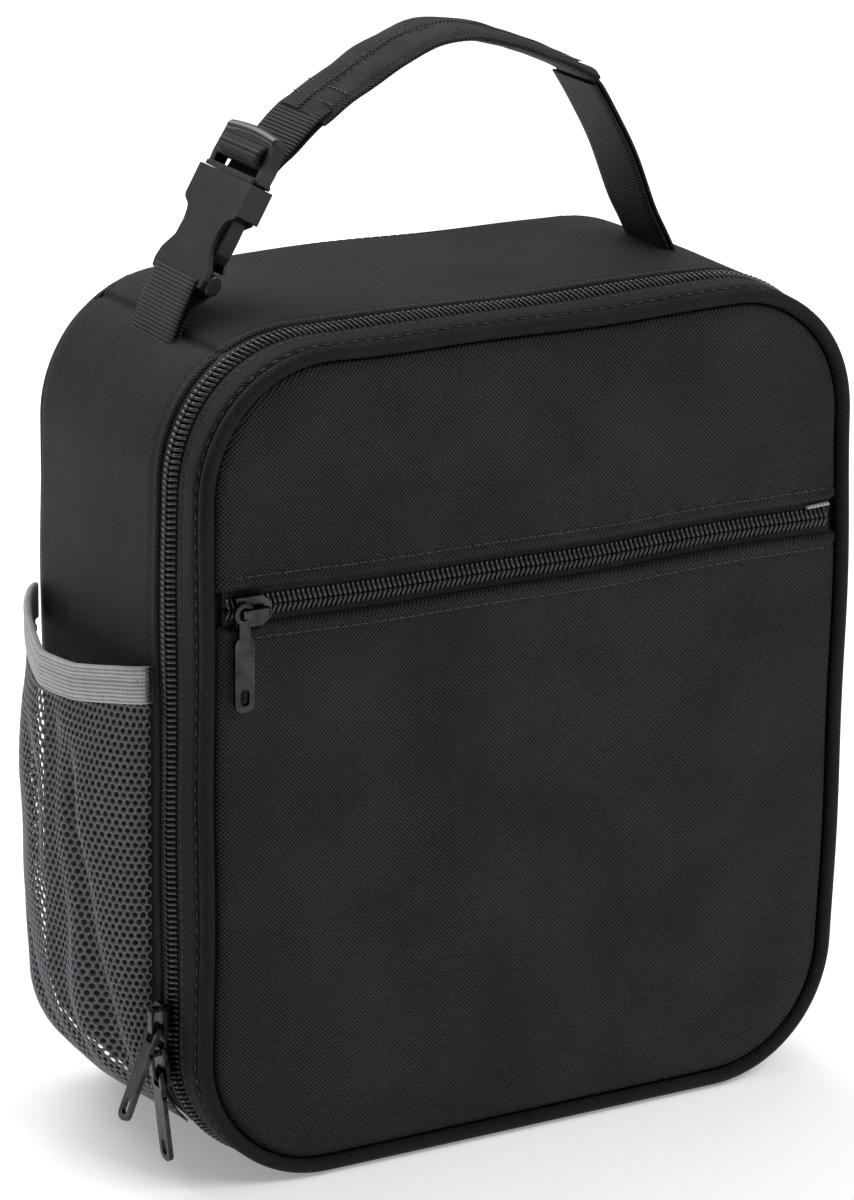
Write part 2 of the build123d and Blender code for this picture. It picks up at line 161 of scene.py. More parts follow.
def oxford(name, dark, light, pitch=1.3, sheen=0.25, rough=0.62, wrinkle=1.0):
    """Plain-weave polyester: yarns over and under, slight slub, soft creases."""
    n = Nodes(name)
    u, v = n.uv()
    slub = n.noise(900.0, 2.0)
    yarn = n.math("MULTIPLY", n.wave(u, pitch), n.wave(v, pitch))
    weave = n.math("MULTIPLY_ADD", yarn, 0.5, 0.5)
    cell = n.math("MULTIPLY_ADD", slub, 0.5, weave)
    broad = n.noise(26.0, 4.0)
    tone = n.math("MULTIPLY_ADD", broad, 0.35, n.math("MULTIPLY", cell, 0.55))
    colour = n.ramp(tone, [(0.42, dark), (0.9, light)])
    crease = n.bump(n.noise(38.0, 3.0), 1.6 * wrinkle, 0.5)
    fine = n.bump(cell, 0.3, 0.9, crease)
    return n.finish(Base_Color=colour, Roughness=rough, Normal=fine, Sheen_Weight=sheen, Sheen_Roughness=0.4,
                    Specular_IOR_Level=0.12)


def ribbed(name, dark, light, rib=2.0, yarn=0.9, sheen=0.2, rough=0.6, depth=0.3):
    """Webbing and elastic: ribs across u with yarns along them."""
    n = Nodes(name)
    u, v = n.uv()
    ribs = n.math("MULTIPLY_ADD", n.wave(u, rib), 0.5, 0.5)
    yarns = n.math("MULTIPLY_ADD", n.wave(v, yarn), 0.5, 0.5)
    height = n.math("MULTIPLY_ADD", yarns, 0.35, ribs)
    wear = n.noise(300.0, 3.0)
    tone = n.math("MULTIPLY_ADD", height, 0.55, n.math("MULTIPLY", wear, 0.4))
    colour = n.ramp(tone, [(0.2, dark), (0.9, light)])
    return n.finish(Base_Color=colour, Roughness=rough, Normal=n.bump(height, depth), Sheen_Weight=sheen,
                    Sheen_Roughness=0.4, Specular_IOR_Level=0.2)


def thread(name, dark, light):
    n = Nodes(name)
    colour = n.ramp(n.noise(1800.0, 2.0), [(0.3, dark), (0.75, light)])
    return n.finish(Base_Color=colour, Roughness=0.55, Normal=n.bump(n.noise(2500.0, 1.0), 0.05),
                    Sheen_Weight=0.2)


def moulded(name, dark, light, rough_lo, rough_hi, grain=0.02, coat=0.0):
    n = Nodes(name)
    wear = n.noise(120.0, 5.0)
    colour = n.ramp(wear, [(0.3, dark), (0.8, light)])
    rough = n.math("MULTIPLY_ADD", wear, rough_hi - rough_lo, rough_lo)
    return n.finish(Base_Color=colour, Roughness=rough, Normal=n.bump(n.noise(3500.0, 2.0), grain),
                    Coat_Weight=coat, Coat_Roughness=0.2)


def plated(name, dark, light, rough_lo, rough_hi):
    """Black-nickel plating with light handling scratches."""
    n = Nodes(name)
    wear = n.noise(220.0, 5.0)
    colour = n.ramp(wear, [(0.3, dark), (0.75, light)])
    rough = n.math("MULTIPLY_ADD", wear, rough_hi - rough_lo, rough_lo)
    return n.finish(Base_Color=colour, Metallic=1.0, Roughness=rough,
                    Normal=n.bump(n.noise(1500.0, 3.0), 0.01))


def film(name, dark, light):
    """Wipe-clean liner: crinkled, slightly glossy."""
    n = Nodes(name)
    crinkle = n.noise(55.0, 6.0, 0.6)
    colour = n.ramp(crinkle, [(0.3, dark), (0.7, light)])
    return n.finish(Base_Color=colour, Roughness=0.32, Metallic=0.0, Normal=n.bump(crinkle, 1.6, 0.7),
                    Coat_Weight=0.3, Coat_Roughness=0.25)


MAT = {
    "oxford": oxford("oxford", (0.0008, 0.0008, 0.0010), (0.036, 0.036, 0.042), sheen=0.02),
    "gusset": oxford("gusset_cloth", (0.0012, 0.0012, 0.0014), (0.019, 0.019, 0.021), pitch=1.1, sheen=0.02),
    "grip": oxford("grip_cloth", (0.0018, 0.0018, 0.0022), (0.032, 0.032, 0.037), pitch=1.2, sheen=0.04),
    "tape": ribbed("zip_tape", (0.001, 0.001, 0.0012), (0.008, 0.008, 0.009), rib=0.9, yarn=0.7, depth=0.1,
                   sheen=0.03),
    "webbing": ribbed("webbing_cloth", (0.0012, 0.0012, 0.0014), (0.013, 0.013, 0.0145), rib=1.15, yarn=1.1,
                      sheen=0.02),
    "elastic": ribbed("elastic_cloth", (0.2, 0.2, 0.2), (0.52, 0.52, 0.51), rib=1.15, yarn=0.8, depth=0.2),
    "knit": thread("mesh_knit", (0.045, 0.043, 0.055), (0.14, 0.135, 0.16)),
    "thread": thread("sewing_thread", (0.003, 0.003, 0.004), (0.018, 0.018, 0.020)),
    "dark_thread": thread("binding_thread", (0.01, 0.01, 0.012), (0.05, 0.05, 0.055)),
    "coil": moulded("coil_nylon", (0.006, 0.006, 0.007), (0.022, 0.022, 0.024), 0.18, 0.4),
    "metal": plated("black_nickel", (0.020, 0.020, 0.021), (0.062, 0.062, 0.065), 0.2, 0.36),
    "plastic": moulded("buckle_acetal", (0.004, 0.004, 0.0045), (0.014, 0.014, 0.015), 0.3, 0.48),
    "liner": film("liner_film", (0.42, 0.43, 0.45), (0.62, 0.63, 0.65)),
    "foam": moulded("foam_edge", (0.45, 0.45, 0.44), (0.6, 0.6, 0.58), 0.8, 0.9, grain=0.2),
}


# ---------------------------------------------------------------- mesh helpers
CUTS = {}


def spans(P, closed_u):
    """Greatest girth of a grid along each of its directions."""
    Q = np.concatenate([P, P[:1]]) if closed_u else P
    along = np.linalg.norm(np.diff(Q, axis=0), axis=2).sum(axis=0).max()
    across = np.linalg.norm(np.diff(P, axis=1), axis=2).sum(axis=1).max()
    return across, along


def new_object(name, verts, faces, mat, uvs=None, smooth=True):
    mesh = bpy.data.meshes.new(name)
    points = [tuple(p) for p in (np.asarray(verts) * MM)]
    mesh.from_pydata(points, [], [tuple(int(i) for i in f) for f in faces])
    mesh.materials.append(MAT[mat])
    if uvs is not None:
        layer = mesh.uv_layers.new(name="mm")
        index = np.empty(len(mesh.loops), dtype=np.int32)
        mesh.loops.foreach_get("vertex_index", index)
        layer.data.foreach_set("uv", np.asarray(uvs, dtype=np.float32)[index].ravel())
    if smooth:
        mesh.polygons.foreach_set("use_smooth", [True] * len(mesh.polygons))
    mesh.update()
    obj = bpy.data.objects.new(name, mesh)
    bpy.context.scene.collection.objects.link(obj)
    return obj


def grid_faces(nu, nv, closed_u, offset=0, flip=False):
    i = np.arange(nu if closed_u else nu - 1)
    j = np.arange(nv - 1)
    a, b = np.meshgrid(i, j, indexing="ij")
    a2 = (a + 1) % nu
    quads = np.stack([a * nv + b, a2 * nv + b, a2 * nv + b + 1, a * nv + b + 1], axis=-1)
    quads = quads.reshape(-1, 4) + offset
    return quads[:, ::-1] if flip else quads


def grid_normals(P, closed_u):
    du = (np.roll(P, -1, 0) - np.roll(P, 1, 0)) if closed_u else np.gradient(P, axis=0)
    dv = np.gradient(P, axis=1)
    n = np.cross(du, dv)
    return n / np.maximum(np.linalg.norm(n, axis=-1, keepdims=True), 1e-9)


def arc_uv(P):
    """Lengths along both directions of a grid, in millimetres."""
    du = np.linalg.norm(np.diff(P, axis=0), axis=-1).mean(axis=1)
    dv = np.linalg.norm(np.diff(P, axis=1), axis=-1).mean(axis=0)
    u = np.concatenate([[0], np.cumsum(du)])
    v = np.concatenate([[0], np.cumsum(dv)])
    U, V = np.meshgrid(u, v, indexing="ij")
    return np.stack([U, V], axis=-1)


def cloth(name, P, mat, thick=0.8, closed_u=False, uv=None, outward=1):
    """A closed cloth piece over the grid P, thickened inwards by thick. outward flips which side is out."""
    P = np.asarray(P, float)
    CUTS[name] = spans(P, closed_u)
    nu, nv = P.shape[:2]
    normal = grid_normals(P, closed_u) * outward
    Q = P - normal * thick
    uv = arc_uv(P) if uv is None else uv
    verts = np.concatenate([P.reshape(-1, 3), Q.reshape(-1, 3)])
    uvs = np.concatenate([uv.reshape(-1, 2)] * 2)
    m = nu * nv
    front = grid_faces(nu, nv, closed_u, 0, outward < 0)
    rear = grid_faces(nu, nv, closed_u, m, outward > 0)
    faces = list(front) + list(rear)
    rim = []
    for j in (0, nv - 1):
        span = range(nu if closed_u else nu - 1)
        for i in span:
            a, b = i * nv + j, ((i + 1) % nu) * nv + j
            quad = (a, b, b + m, a + m)
            rim.append(quad if (j == nv - 1) == (outward > 0) else quad[::-1])
    if not closed_u:
        for i in (0, nu - 1):
            for j in range(nv - 1):
                a, b = i * nv + j, i * nv + j + 1
                quad = (a, b, b + m, a + m)
                rim.append(quad if (i == 0) == (outward > 0) else quad[::-1])
    return new_object(name, verts, faces + rim, mat, uvs)


def tube(name, path, radius, mat, closed=False, sides=10, squash=(1.0, 1.0), up_hint=None):
    """A round or oval cord of cloth or thread along path. squash scales its two half-widths."""
    path = np.asarray(path, float)
    n = len(path)
    tangent = (np.roll(path, -1, 0) - np.roll(path, 1, 0)) if closed else np.gradient(path, axis=0)
    tangent /= np.linalg.norm(tangent, axis=1, keepdims=True)
    hint = np.array([0, 1.0, 0]) if up_hint is None else np.asarray(up_hint, float)
    side = np.cross(tangent, np.broadcast_to(hint, tangent.shape))
    side /= np.maximum(np.linalg.norm(side, axis=1, keepdims=True), 1e-9)
    over = np.cross(side, tangent)
    angle = np.linspace(0, 2 * math.pi, sides, endpoint=False)
    r = np.broadcast_to(np.asarray(radius, float).reshape(-1, 1, 1), (n, 1, 1))
    ring = (side[:, None] * np.cos(angle)[None, :, None] * squash[0]
            + over[:, None] * np.sin(angle)[None, :, None] * squash[1]) * r
    P = path[:, None] + ring
    verts = P.reshape(-1, 3)
    faces = []
    for i in range(n if closed else n - 1):
        i2 = (i + 1) % n
        for j in range(sides):
            j2 = (j + 1) % sides
            faces.append((i * sides + j, i * sides + j2, i2 * sides + j2, i2 * sides + j))
    if not closed:
        faces.append(tuple(range(sides))[::-1])
        faces.append(tuple(range((n - 1) * sides, n * sides)))
    length = np.concatenate([[0], np.cumsum(np.linalg.norm(np.diff(path, axis=0), axis=1))])
    uvs = np.stack([np.repeat(length, sides), np.tile(angle * float(np.mean(radius)), n)], axis=-1)
    return new_object(name, verts, faces, mat, uvs)


def resample(path, step, closed=False):
    path = np.asarray(path, float)
    if closed:
        path = np.vstack([path, path[:1]])
    d = np.concatenate([[0], np.cumsum(np.linalg.norm(np.diff(path, axis=0), axis=1))])
    count = max(2, int(round(d[-1] / step)) + 1)
    at = np.linspace(0, d[-1], count)
    out = np.stack([np.interp(at, d, path[:, k]) for k in range(3)], axis=-1)
    return out[:-1] if closed else out


def smooth_path(points, step=1.0):
    """A Catmull-Rom curve through points, resampled evenly."""
    p = np.asarray(points, float)
    p = np.vstack([2 * p[0] - p[1], p, 2 * p[-1] - p[-2]])
    out = []
    for i in range(1, len(p) - 2):
        for t in np.linspace(0, 1, 16, endpoint=False):
            a, b, c, d = p[i - 1], p[i], p[i + 1], p[i + 2]
            out.append(0.5 * (2 * b + (c - a) * t + (2 * a - 5 * b + 4 * c - d) * t ** 2
                              + (3 * b - a - 3 * c + d) * t ** 3))
    out.append(p[-2])
    return resample(out, step)


CAPSULE = []
for ring_i in range(6):
    lat = -math.pi / 2 + math.pi * ring_i / 5
    for k in range(6):
        lon = 2 * math.pi * k / 6
        CAPSULE.append((math.cos(lat) * math.cos(lon), math.cos(lat) * math.sin(lon), math.sin(lat)))
CAPSULE = np.array(CAPSULE)


def capsules(name, starts, ends, radius, mat, lift=None, flat=1.0):
    """Many short rounded rods in one mesh: stitches or coil turns. lift, when given, is the hint that orients
    their sections.
    """
    starts, ends = np.asarray(starts, float), np.asarray(ends, float)
    axis = ends - starts
    length = np.linalg.norm(axis, axis=1, keepdims=True)
    w = axis / np.maximum(length, 1e-9)
    hint = np.where(np.abs(w[:, 1:2]) > 0.9, np.array([[0, 0, 1.0]]), np.array([[0, 1.0, 0]]))
    if lift is not None:
        hint = np.asarray(lift, float)
    a = np.cross(w, hint)
    a /= np.maximum(np.linalg.norm(a, axis=1, keepdims=True), 1e-9)
    b = np.cross(w, a)
    rows = CAPSULE.reshape(6, 6, 3)
    verts = []
    for i in range(6):
        t = -0.5 if i < 3 else 0.5
        for k in range(6):
            c = rows[i, k]
            verts.append((starts + ends) / 2 + w * (length * t + c[2] * radius * 0.8)
                         + a * c[0] * radius + b * c[1] * radius * flat)
    verts = np.stack(verts, axis=1).reshape(-1, 3)
    unit = []
    for i in range(5):
        for k in range(6):
            k2 = (k + 1) % 6
            unit.append((i * 6 + k, i * 6 + k2, (i + 1) * 6 + k2, (i + 1) * 6 + k))
    unit = np.array(unit)
    faces = (unit[None] + 36 * np.arange(len(starts))[:, None, None]).reshape(-1, 4)
    uvs = np.tile(CAPSULE[:, :2] * radius, (len(starts), 1))
    return new_object(name, verts, faces, mat, uvs)


def stitches(name, path, mat="thread", pitch=2.6, length=1.9, radius=0.2):
    """A row of stitches along path, each a short thread lying on the cloth."""
    path = resample(path, 0.5)
    d = np.concatenate([[0], np.cumsum(np.linalg.norm(np.diff(path, axis=0), axis=1))])
    at = np.arange(pitch / 2, d[-1] - length, pitch)
    start = np.stack([np.interp(at, d, path[:, k]) for k in range(3)], axis=-1)
    end = np.stack([np.interp(at + length, d, path[:, k]) for k in range(3)], axis=-1)
    return capsules(name, start, end, radius, mat)


# ---------------------------------------------------------------- outline of the bag
def build_outline(step=3.0):
    """Points, outward normals and lengths round the front outline, from the middle of the foot, clockwise."""
    cx, r = CORNER_X, CORNER_R
    pieces = []

    def line(a, b, normal):
        n = max(2, int(np.linalg.norm(np.subtract(b, a)) / step))
        for t in np.linspace(0, 1, n, endpoint=False):
            pieces.append((*(np.array(a) * (1 - t) + np.array(b) * t), *normal))

    def arc(centre, start, end):
        n = max(2, int(abs(end - start) * r / (step * 0.7)))
        for t in np.linspace(start, end, n, endpoint=False):
            d = (math.cos(t), math.sin(t))
            pieces.append((centre[0] + r * d[0], centre[1] + r * d[1], *d))

    w, h = WIDTH / 2, HEIGHT
    line((0, 0), (-cx, 0), (0, -1))
    arc((-cx, r), -math.pi / 2, -math.pi)
    line((-w, r), (-w, h - r), (-1, 0))
    arc((-cx, h - r), math.pi, math.pi / 2)
    line((-cx, h), (cx, h), (0, 1))
    arc((cx, h - r), math.pi / 2, 0)
    line((w, h - r), (w, r), (1, 0))
    arc((cx, r), 0, -math.pi / 2)
    line((cx, 0), (0, 0), (0, -1))
    return np.array(pieces)


OUT = build_outline()
RIM, RIM_N = OUT[:, :2], OUT[:, 2:]
RIM_S = np.concatenate([[0], np.cumsum(np.linalg.norm(np.diff(RIM, axis=0), axis=1))])


def soft(p):
    """The lid's own outline, and the slow unevenness that each sewn piece shares with its neighbours."""
    front = np.clip((TUB_FRONT - p[..., 1]) / 10.6, 0, 1)
    p = p.copy()
    p[..., 0] *= 1 - front * LID_NARROW / (WIDTH / 2)
    p[..., 0] *= 1 + front * 0.008 * np.sin(np.clip((215 - p[..., 2]) / 215, 0, 1) * math.pi)
    x, y, z = p[..., 0], p[..., 1], p[..., 2]
    k = np.clip(z / 30, 0, 1)
    dx = 0.5 * np.sin(z / 31 + 0.6) * np.sin(y / 26 + 1.1) + 0.28 * np.sin(z / 13 + y / 11)
    dy = 0.45 * np.sin(x / 37 + 0.4) * np.sin(z / 41 + 0.9) + 0.2 * np.sin(x / 14 + z / 17 + 0.5)
    dz = 0.5 * np.sin(x / 33 + 2.0) * np.sin(y / 29) + 0.25 * np.sin(x / 12 + y / 15)
    return p + np.stack([dx, dy, dz * np.clip((z - 5) / 60, 0, 1)], axis=-1) * k[..., None]


def band(profile, keep=None):
    """A grid round the outline: profile is (y, inset) pairs. keep selects outline points."""
    rim, normal = (RIM, RIM_N) if keep is None else (RIM[keep], RIM_N[keep])
    prof = np.asarray(profile, float)
    P = np.empty((len(rim), len(prof), 3))
    P[..., 0] = rim[:, None, 0] - normal[:, None, 0] * prof[None, :, 1]
    P[..., 2] = rim[:, None, 1] - normal[:, None, 1] * prof[None, :, 1]
    P[..., 1] = prof[None, :, 0]
    return P


def chain_inset(y):
    return CHAIN_INSET - RAMP * (y - CHAIN_Y)


def fine_profile(points, step=2.5):
    """Profile points with more between them."""
    out = [points[0]]
    for a, b in zip(points[:-1], points[1:]):
        n = max(1, int(math.hypot(b[0] - a[0], b[1] - a[1]) / step))
        for t in range(1, n + 1):
            out.append((a[0] + (b[0] - a[0]) * t / n, a[1] + (b[1] - a[1]) * t / n))
    return out


def on_lid(obj):
    """The lower edge of the lid is the fabric hinge between the tub and the lid. This only bakes the piece's
    transform into its mesh.
    """
    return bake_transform(obj)


# ---------------------------------------------------------------- tub fabric
def side_bulge(P):
    """Side and top walls swell a little between their seams."""
    x, y, z = P[..., 0], P[..., 1], P[..., 2]
    depth = np.clip((y - TUB_FRONT) / (BACK - TUB_FRONT), 0, 1)
    across = np.sin(np.pi * depth) ** 0.8
    high = np.clip((z - 10) / 40, 0, 1)
    side = np.clip((np.abs(x) - CORNER_X) / CORNER_R, 0, 1)
    top = np.clip((z - (HEIGHT - CORNER_R)) / CORNER_R, 0, 1)
    out = P.copy()
    out[..., 0] += np.sign(x) * side * across * high * 1.2 * np.sin(np.pi * np.clip(z / HEIGHT, 0, 1))
    sag = np.cos(np.clip(x / CORNER_X, -1, 1) * np.pi / 2)
    out[..., 2] -= top * across * 1.0 * sag
    return out


def seam_pinch(P, seams, s):
    """Fabric turns in at a sewn seam between two panels."""
    out = P.copy()
    for at in seams:
        fall = np.exp(-((s - at) / 1.3) ** 2) * 1.1 + np.exp(-((s - at) / 6.0) ** 2) * 0.35
        out[..., 0] -= RIM_N[:, None, 0] * fall[:, None]
        out[..., 2] -= RIM_N[:, None, 1] * fall[:, None]
    return out


def s_at(x, z):
    """Length round the outline at the point nearest (x, z)."""
    return RIM_S[np.argmin(np.hypot(RIM[:, 0] - x, RIM[:, 1] - z))]


SHOULDER_LEFT = s_at(-89.9, 243.2)
SHOULDER_RIGHT = s_at(89.9, 243.2)
FOOT_LEFT = s_at(-96.7, 12.3)
FOOT_RIGHT = s_at(96.7, 12.3)

# Refine the outline near the seams so the pinch has points to bend.
extra = []
for at in (SHOULDER_LEFT, SHOULDER_RIGHT, FOOT_LEFT, FOOT_RIGHT):
    extra += list(at + np.array([-4, -2.6, -1.8, -1.2, -0.6, 0, 0.6, 1.2, 1.8, 2.6, 4]))
closed_s = np.append(RIM_S, RIM_S[-1] + np.linalg.norm(RIM[0] - RIM[-1]))
all_s = np.sort(np.concatenate([RIM_S, extra]))
all_s = all_s[np.concatenate([[True], np.diff(all_s) > 0.3])]
closed_rim = np.vstack([RIM, RIM[:1]])
closed_n = np.vstack([RIM_N, RIM_N[:1]])
RIM = np.stack([np.interp(all_s, closed_s, closed_rim[:, k]) for k in (0, 1)], axis=-1)
RIM_N = np.stack([np.interp(all_s, closed_s, closed_n[:, k]) for k in (0, 1)], axis=-1)
RIM_N /= np.linalg.norm(RIM_N, axis=1, keepdims=True)
RIM_S = all_s
SEAMS = (SHOULDER_LEFT, SHOULDER_RIGHT, FOOT_LEFT, FOOT_RIGHT)

rolled_edge = [(0.9, 2.0), (-0.2, 1.3), (-0.35, 0.6), (0.1, 0.1), (1.0, -0.05), (2.2, 0.3),
               (3.4, 0.25), (5.0, 0.0)]
tub_profile = [(TUB_FRONT + y, inset) for y, inset in rolled_edge]
tub_profile += fine_profile([(TUB_FRONT + 6.0, 0.0), (BACK - 7.0, 0.0)], 4.0)
tub_profile += [(BACK - 5.0, 0.1), (BACK - 3.4, 0.5), (BACK - 2.2, 0.8), (BACK - 1.5, 0.9)]
P = seam_pinch(soft(side_bulge(band(tub_profile))), SEAMS, RIM_S)
shell = cloth("tub_shell", P, "oxford", 1.0, closed_u=True, outward=1)
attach(shell, "tub")
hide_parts("top_panel", "bottom_panel", "left_side_panel", "right_side_panel")


def half_width(z, inset):
    """Half the width of the stepped-in outline at height z."""
    r = CORNER_R - inset
    zc = np.where(z < HEIGHT / 2, CORNER_R, HEIGHT - CORNER_R)
    over = np.clip(np.abs(z - zc) * ((z < CORNER_R) | (z > HEIGHT - CORNER_R)), 0, r)
    return CORNER_X + np.sqrt(np.maximum(r * r - over * over, 0))


def edge_distance(x, z, inset):
    """Distance inwards from the stepped-in outline."""
    hx, hz = WIDTH / 2 - inset, HEIGHT / 2 - inset
    r = CORNER_R - inset
    qx, qz = np.abs(x) - (hx - r), np.abs(z - HEIGHT / 2) - (hz - r)
    outside = np.hypot(np.maximum(qx, 0), np.maximum(qz, 0)) + np.minimum(np.maximum(qx, qz), 0)
    return r - outside


def panel_grid(z0, z1, inset, nz, nx):
    """A grid inside the stepped-in outline between two heights, closer together near its edges."""
    e = np.linspace(-1, 1, nx)
    e = np.sin(e * math.pi / 2) * 0.25 + e * 0.75
    f = np.linspace(-1, 1, nz)
    f = (np.sin(f * math.pi / 2) * 0.25 + f * 0.75) * 0.5 + 0.5
    z = z0 + (z1 - z0) * f
    Z = np.repeat(z[:, None], nx, axis=1)
    X = half_width(Z, inset) * e[None]
    return X, Z


# Back: a flat panel whose edge rolls into the shell's back edge seam.
X, Z = panel_grid(0.9, HEIGHT - 0.9, 0.9, 90, 80)
d = edge_distance(X, Z, 0.9)
Y = BACK - 1.6 + 1.6 * (1 - np.exp(-d / 2.2)) + 0.9 * (1 - np.exp(-d / 30)) \
    + 0.3 * np.sin(X / 29 + 1) * np.sin(Z / 37) * np.clip(d / 20, 0, 1)
P = np.stack([X, Y, Z], axis=-1)
back = cloth("back_cloth", P, "oxford", 1.0, uv=np.stack([X, Z], axis=-1), outward=1)
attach(back, "tub")
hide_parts("back_panel")

# ---------------------------------------------------------------- main zip
tub_tape_p = fine_profile([(CHAIN_Y + 0.5, chain_inset(CHAIN_Y + 0.5)),
                           (TUB_FRONT - 1.6, chain_inset(TUB_FRONT - 1.6)),
                           (TUB_FRONT + 2.0, 1.7)], 1.5)
lid_tape_p = fine_profile([(FRONT + 13.0, 3.0), (FRONT + 15.6, chain_inset(FRONT + 15.6) + 0.5),
                           (CHAIN_Y - 0.5, chain_inset(CHAIN_Y - 0.5))], 1.5)
ZIP_END = 76.0
zip_keep = ~((np.abs(RIM[:, 0]) < ZIP_END) & (RIM[:, 1] < 20))
keep_idx = np.flatnonzero(zip_keep)
tub_tape = cloth("tub_tape", soft(band(tub_tape_p, keep_idx)), "tape", 0.5, outward=1)
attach(tub_tape, "tub")
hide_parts("tub_zip_tape")
lid_tape = cloth("lid_tape", soft(band(lid_tape_p, keep_idx)), "tape", 0.5, outward=1)
on_lid(lid_tape)
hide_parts("lid_zip_tape", "zip_end_left", "zip_end_right")


def coil_rows(name, side):
    """One half of the coil: slanting turns from its outer edge to the interlocked middle."""
    path = band([(CHAIN_Y, 0.0)], keep_idx)[:, 0]
    d = np.concatenate([[0], np.cumsum(np.linalg.norm(np.diff(path, axis=0), axis=1))])
    at = np.arange(1.0, d[-1] - 1.0, 1.72)
    rim = np.stack([np.interp(at, d, path[:, k]) for k in (0, 2)], axis=-1)
    n = np.stack([np.interp(at, d, RIM_N[keep_idx][:, k]) for k in (0, 1)], axis=-1)
    n /= np.linalg.norm(n, axis=1, keepdims=True)
    t = np.stack([-n[:, 1], n[:, 0]], axis=-1)

    def point(dy, height, slant):
        y = CHAIN_Y + dy
        inset = chain_inset(y) - height
        xz = rim - n * inset + t * slant
        return np.stack([xz[:, 0], np.full(len(xz), y), xz[:, 1]], axis=-1)

    outer = soft(point(side * 2.75, 0.5, 0.0))
    inner = soft(point(side * 0.55, 1.15, 0.62))
    return capsules(name, outer, inner, 0.62, "coil", flat=0.85)


tub_coil = coil_rows("tub_coil", 1)
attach(tub_coil, "tub")
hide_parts("tub_zip_coil")
lid_coil = coil_rows("lid_coil", -1)
on_lid(lid_coil)
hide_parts("lid_zip_coil")

# ---------------------------------------------------------------- lid: gusset, welt and stitches
WELT_R = 2.15
WELT_INSET = 3.3
G = 0.7
gusset_p = [(FRONT + 14.6, G + 1.9), (FRONT + 15.4, G + 1.1), (FRONT + 15.5, G + 0.4), (FRONT + 14.9, G),
            (FRONT + 13.8, G - 0.1), (FRONT + 12.9, G + 0.25), (FRONT + 12.0, G + 0.05)]
gusset_p += fine_profile([(FRONT + 10.6, G), (FRONT + 6.6, G + 0.15)], 1.6)
gusset_p += [(FRONT + 5.6, G + 0.5), (FRONT + 5.0, G + 1.2), (FRONT + 4.5, G + 1.9), (FRONT + 3.9, G + 2.4)]
P = soft(band(gusset_p))
gusset = cloth("lid_gusset_cloth", P, "gusset", 0.8, closed_u=True, outward=-1)
on_lid(gusset)
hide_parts("lid_gusset", "hinge_gusset")

welt_path = soft(band([(FRONT + 2.35, WELT_INSET)])[:, 0])
welt_path = resample(welt_path, 1.6, closed=True)
welt = tube("lid_welt_bead", welt_path, WELT_R, "gusset", closed=True, sides=16)
on_lid(welt)
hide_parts("lid_welt", "hinge_welt")


def rim_stitches(name, y, inset, body, pitch=3.0, length=2.1, mat="thread", keep=None):
    P = band([(y, inset)], keep)[:, 0]
    path = soft(resample(P, 0.6, closed=keep is None))
    obj = stitches(name, path, mat, pitch, length, 0.22)
    if body == "lid":
        on_lid(obj)
    else:
        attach(obj, body)
    return obj


rim_stitches("welt_stitches", FRONT + 5.0, G + 0.75, "lid", pitch=4.2, length=1.6)
rim_stitches("gusset_stitches", FRONT + 12.9, G + 0.12, "lid")
rim_stitches("tub_front_stitches", TUB_FRONT + 2.4, 0.4, "tub")
rim_stitches("tub_back_stitches", BACK - 4.2, 0.4, "tub")

# ---------------------------------------------------------------- lid: front panels
PANEL = 5.6
ZIP_HALF = 4.9


def front_y(X, Z):
    """The padded front: it turns in to the groove beside the welt and crowns a little."""
    d = edge_distance(X, Z, PANEL)
    crown = 0.6 + 1.3 * np.clip((np.abs(Z - POCKET_Z + 12) - 30) / 50, 0, 1)
    y = FRONT + 3.4 - 2.9 * (1 - np.exp(-np.maximum(d, 0) / 1.6)) \
        - crown * (1 - np.exp(-np.maximum(d, 0) / 16))
    y += 0.35 * np.sin(X / 43 + 0.7) * np.sin(Z / 52 + 0.2) * np.clip(d / 20, 0, 1)
    return y


def zip_roll(Z, edge, direction):
    """The cloth folds back at the pocket zip: how far it steps in near its edge."""
    near = np.maximum((Z - edge) * direction, 0)
    return 1.7 * np.exp(-(near / 0.75) ** 2) - 0.55 * np.exp(-((near - 1.9) / 1.3) ** 2) \
        + 0.5 * np.exp(-((near - 4.1) / 0.8) ** 2)


def pucker(X, Z, edge, direction):
    """Small gathers between the zip's edge and its stitch line."""
    near = np.maximum((Z - edge) * direction, 0)
    return 0.22 * np.sin(X / 1.35 + 1.5 * np.sin(X / 9.0)) * np.exp(-((near - 4.6) / 3.2) ** 2)


upper_edge = POCKET_Z + ZIP_HALF
lower_edge = POCKET_Z - ZIP_HALF
X, Z = panel_grid(upper_edge, HEIGHT - PANEL, PANEL, 74, 150)
Y = front_y(X, Z) + zip_roll(Z, upper_edge, 1) + pucker(X, Z, upper_edge, 1)
P = soft(np.stack([X, Y, Z], axis=-1))
upper_panel = cloth("upper_front_cloth", P, "oxford", 0.8, uv=np.stack([X, Z], axis=-1), outward=-1)
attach(upper_panel, "lid")
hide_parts("lid_upper_panel")

X, Z = panel_grid(PANEL, lower_edge, PANEL, 140, 110)
Y = front_y(X, Z) + zip_roll(Z, lower_edge, -1) + 0.5 * pucker(X, Z, lower_edge, -1)
P = soft(np.stack([X, Y, Z], axis=-1))
pocket_front = cloth("pocket_front_cloth", P, "oxford", 0.8, uv=np.stack([X, Z], axis=-1), outward=-1)
on_lid(pocket_front)
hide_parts("pocket_panel", "hinge_panel")


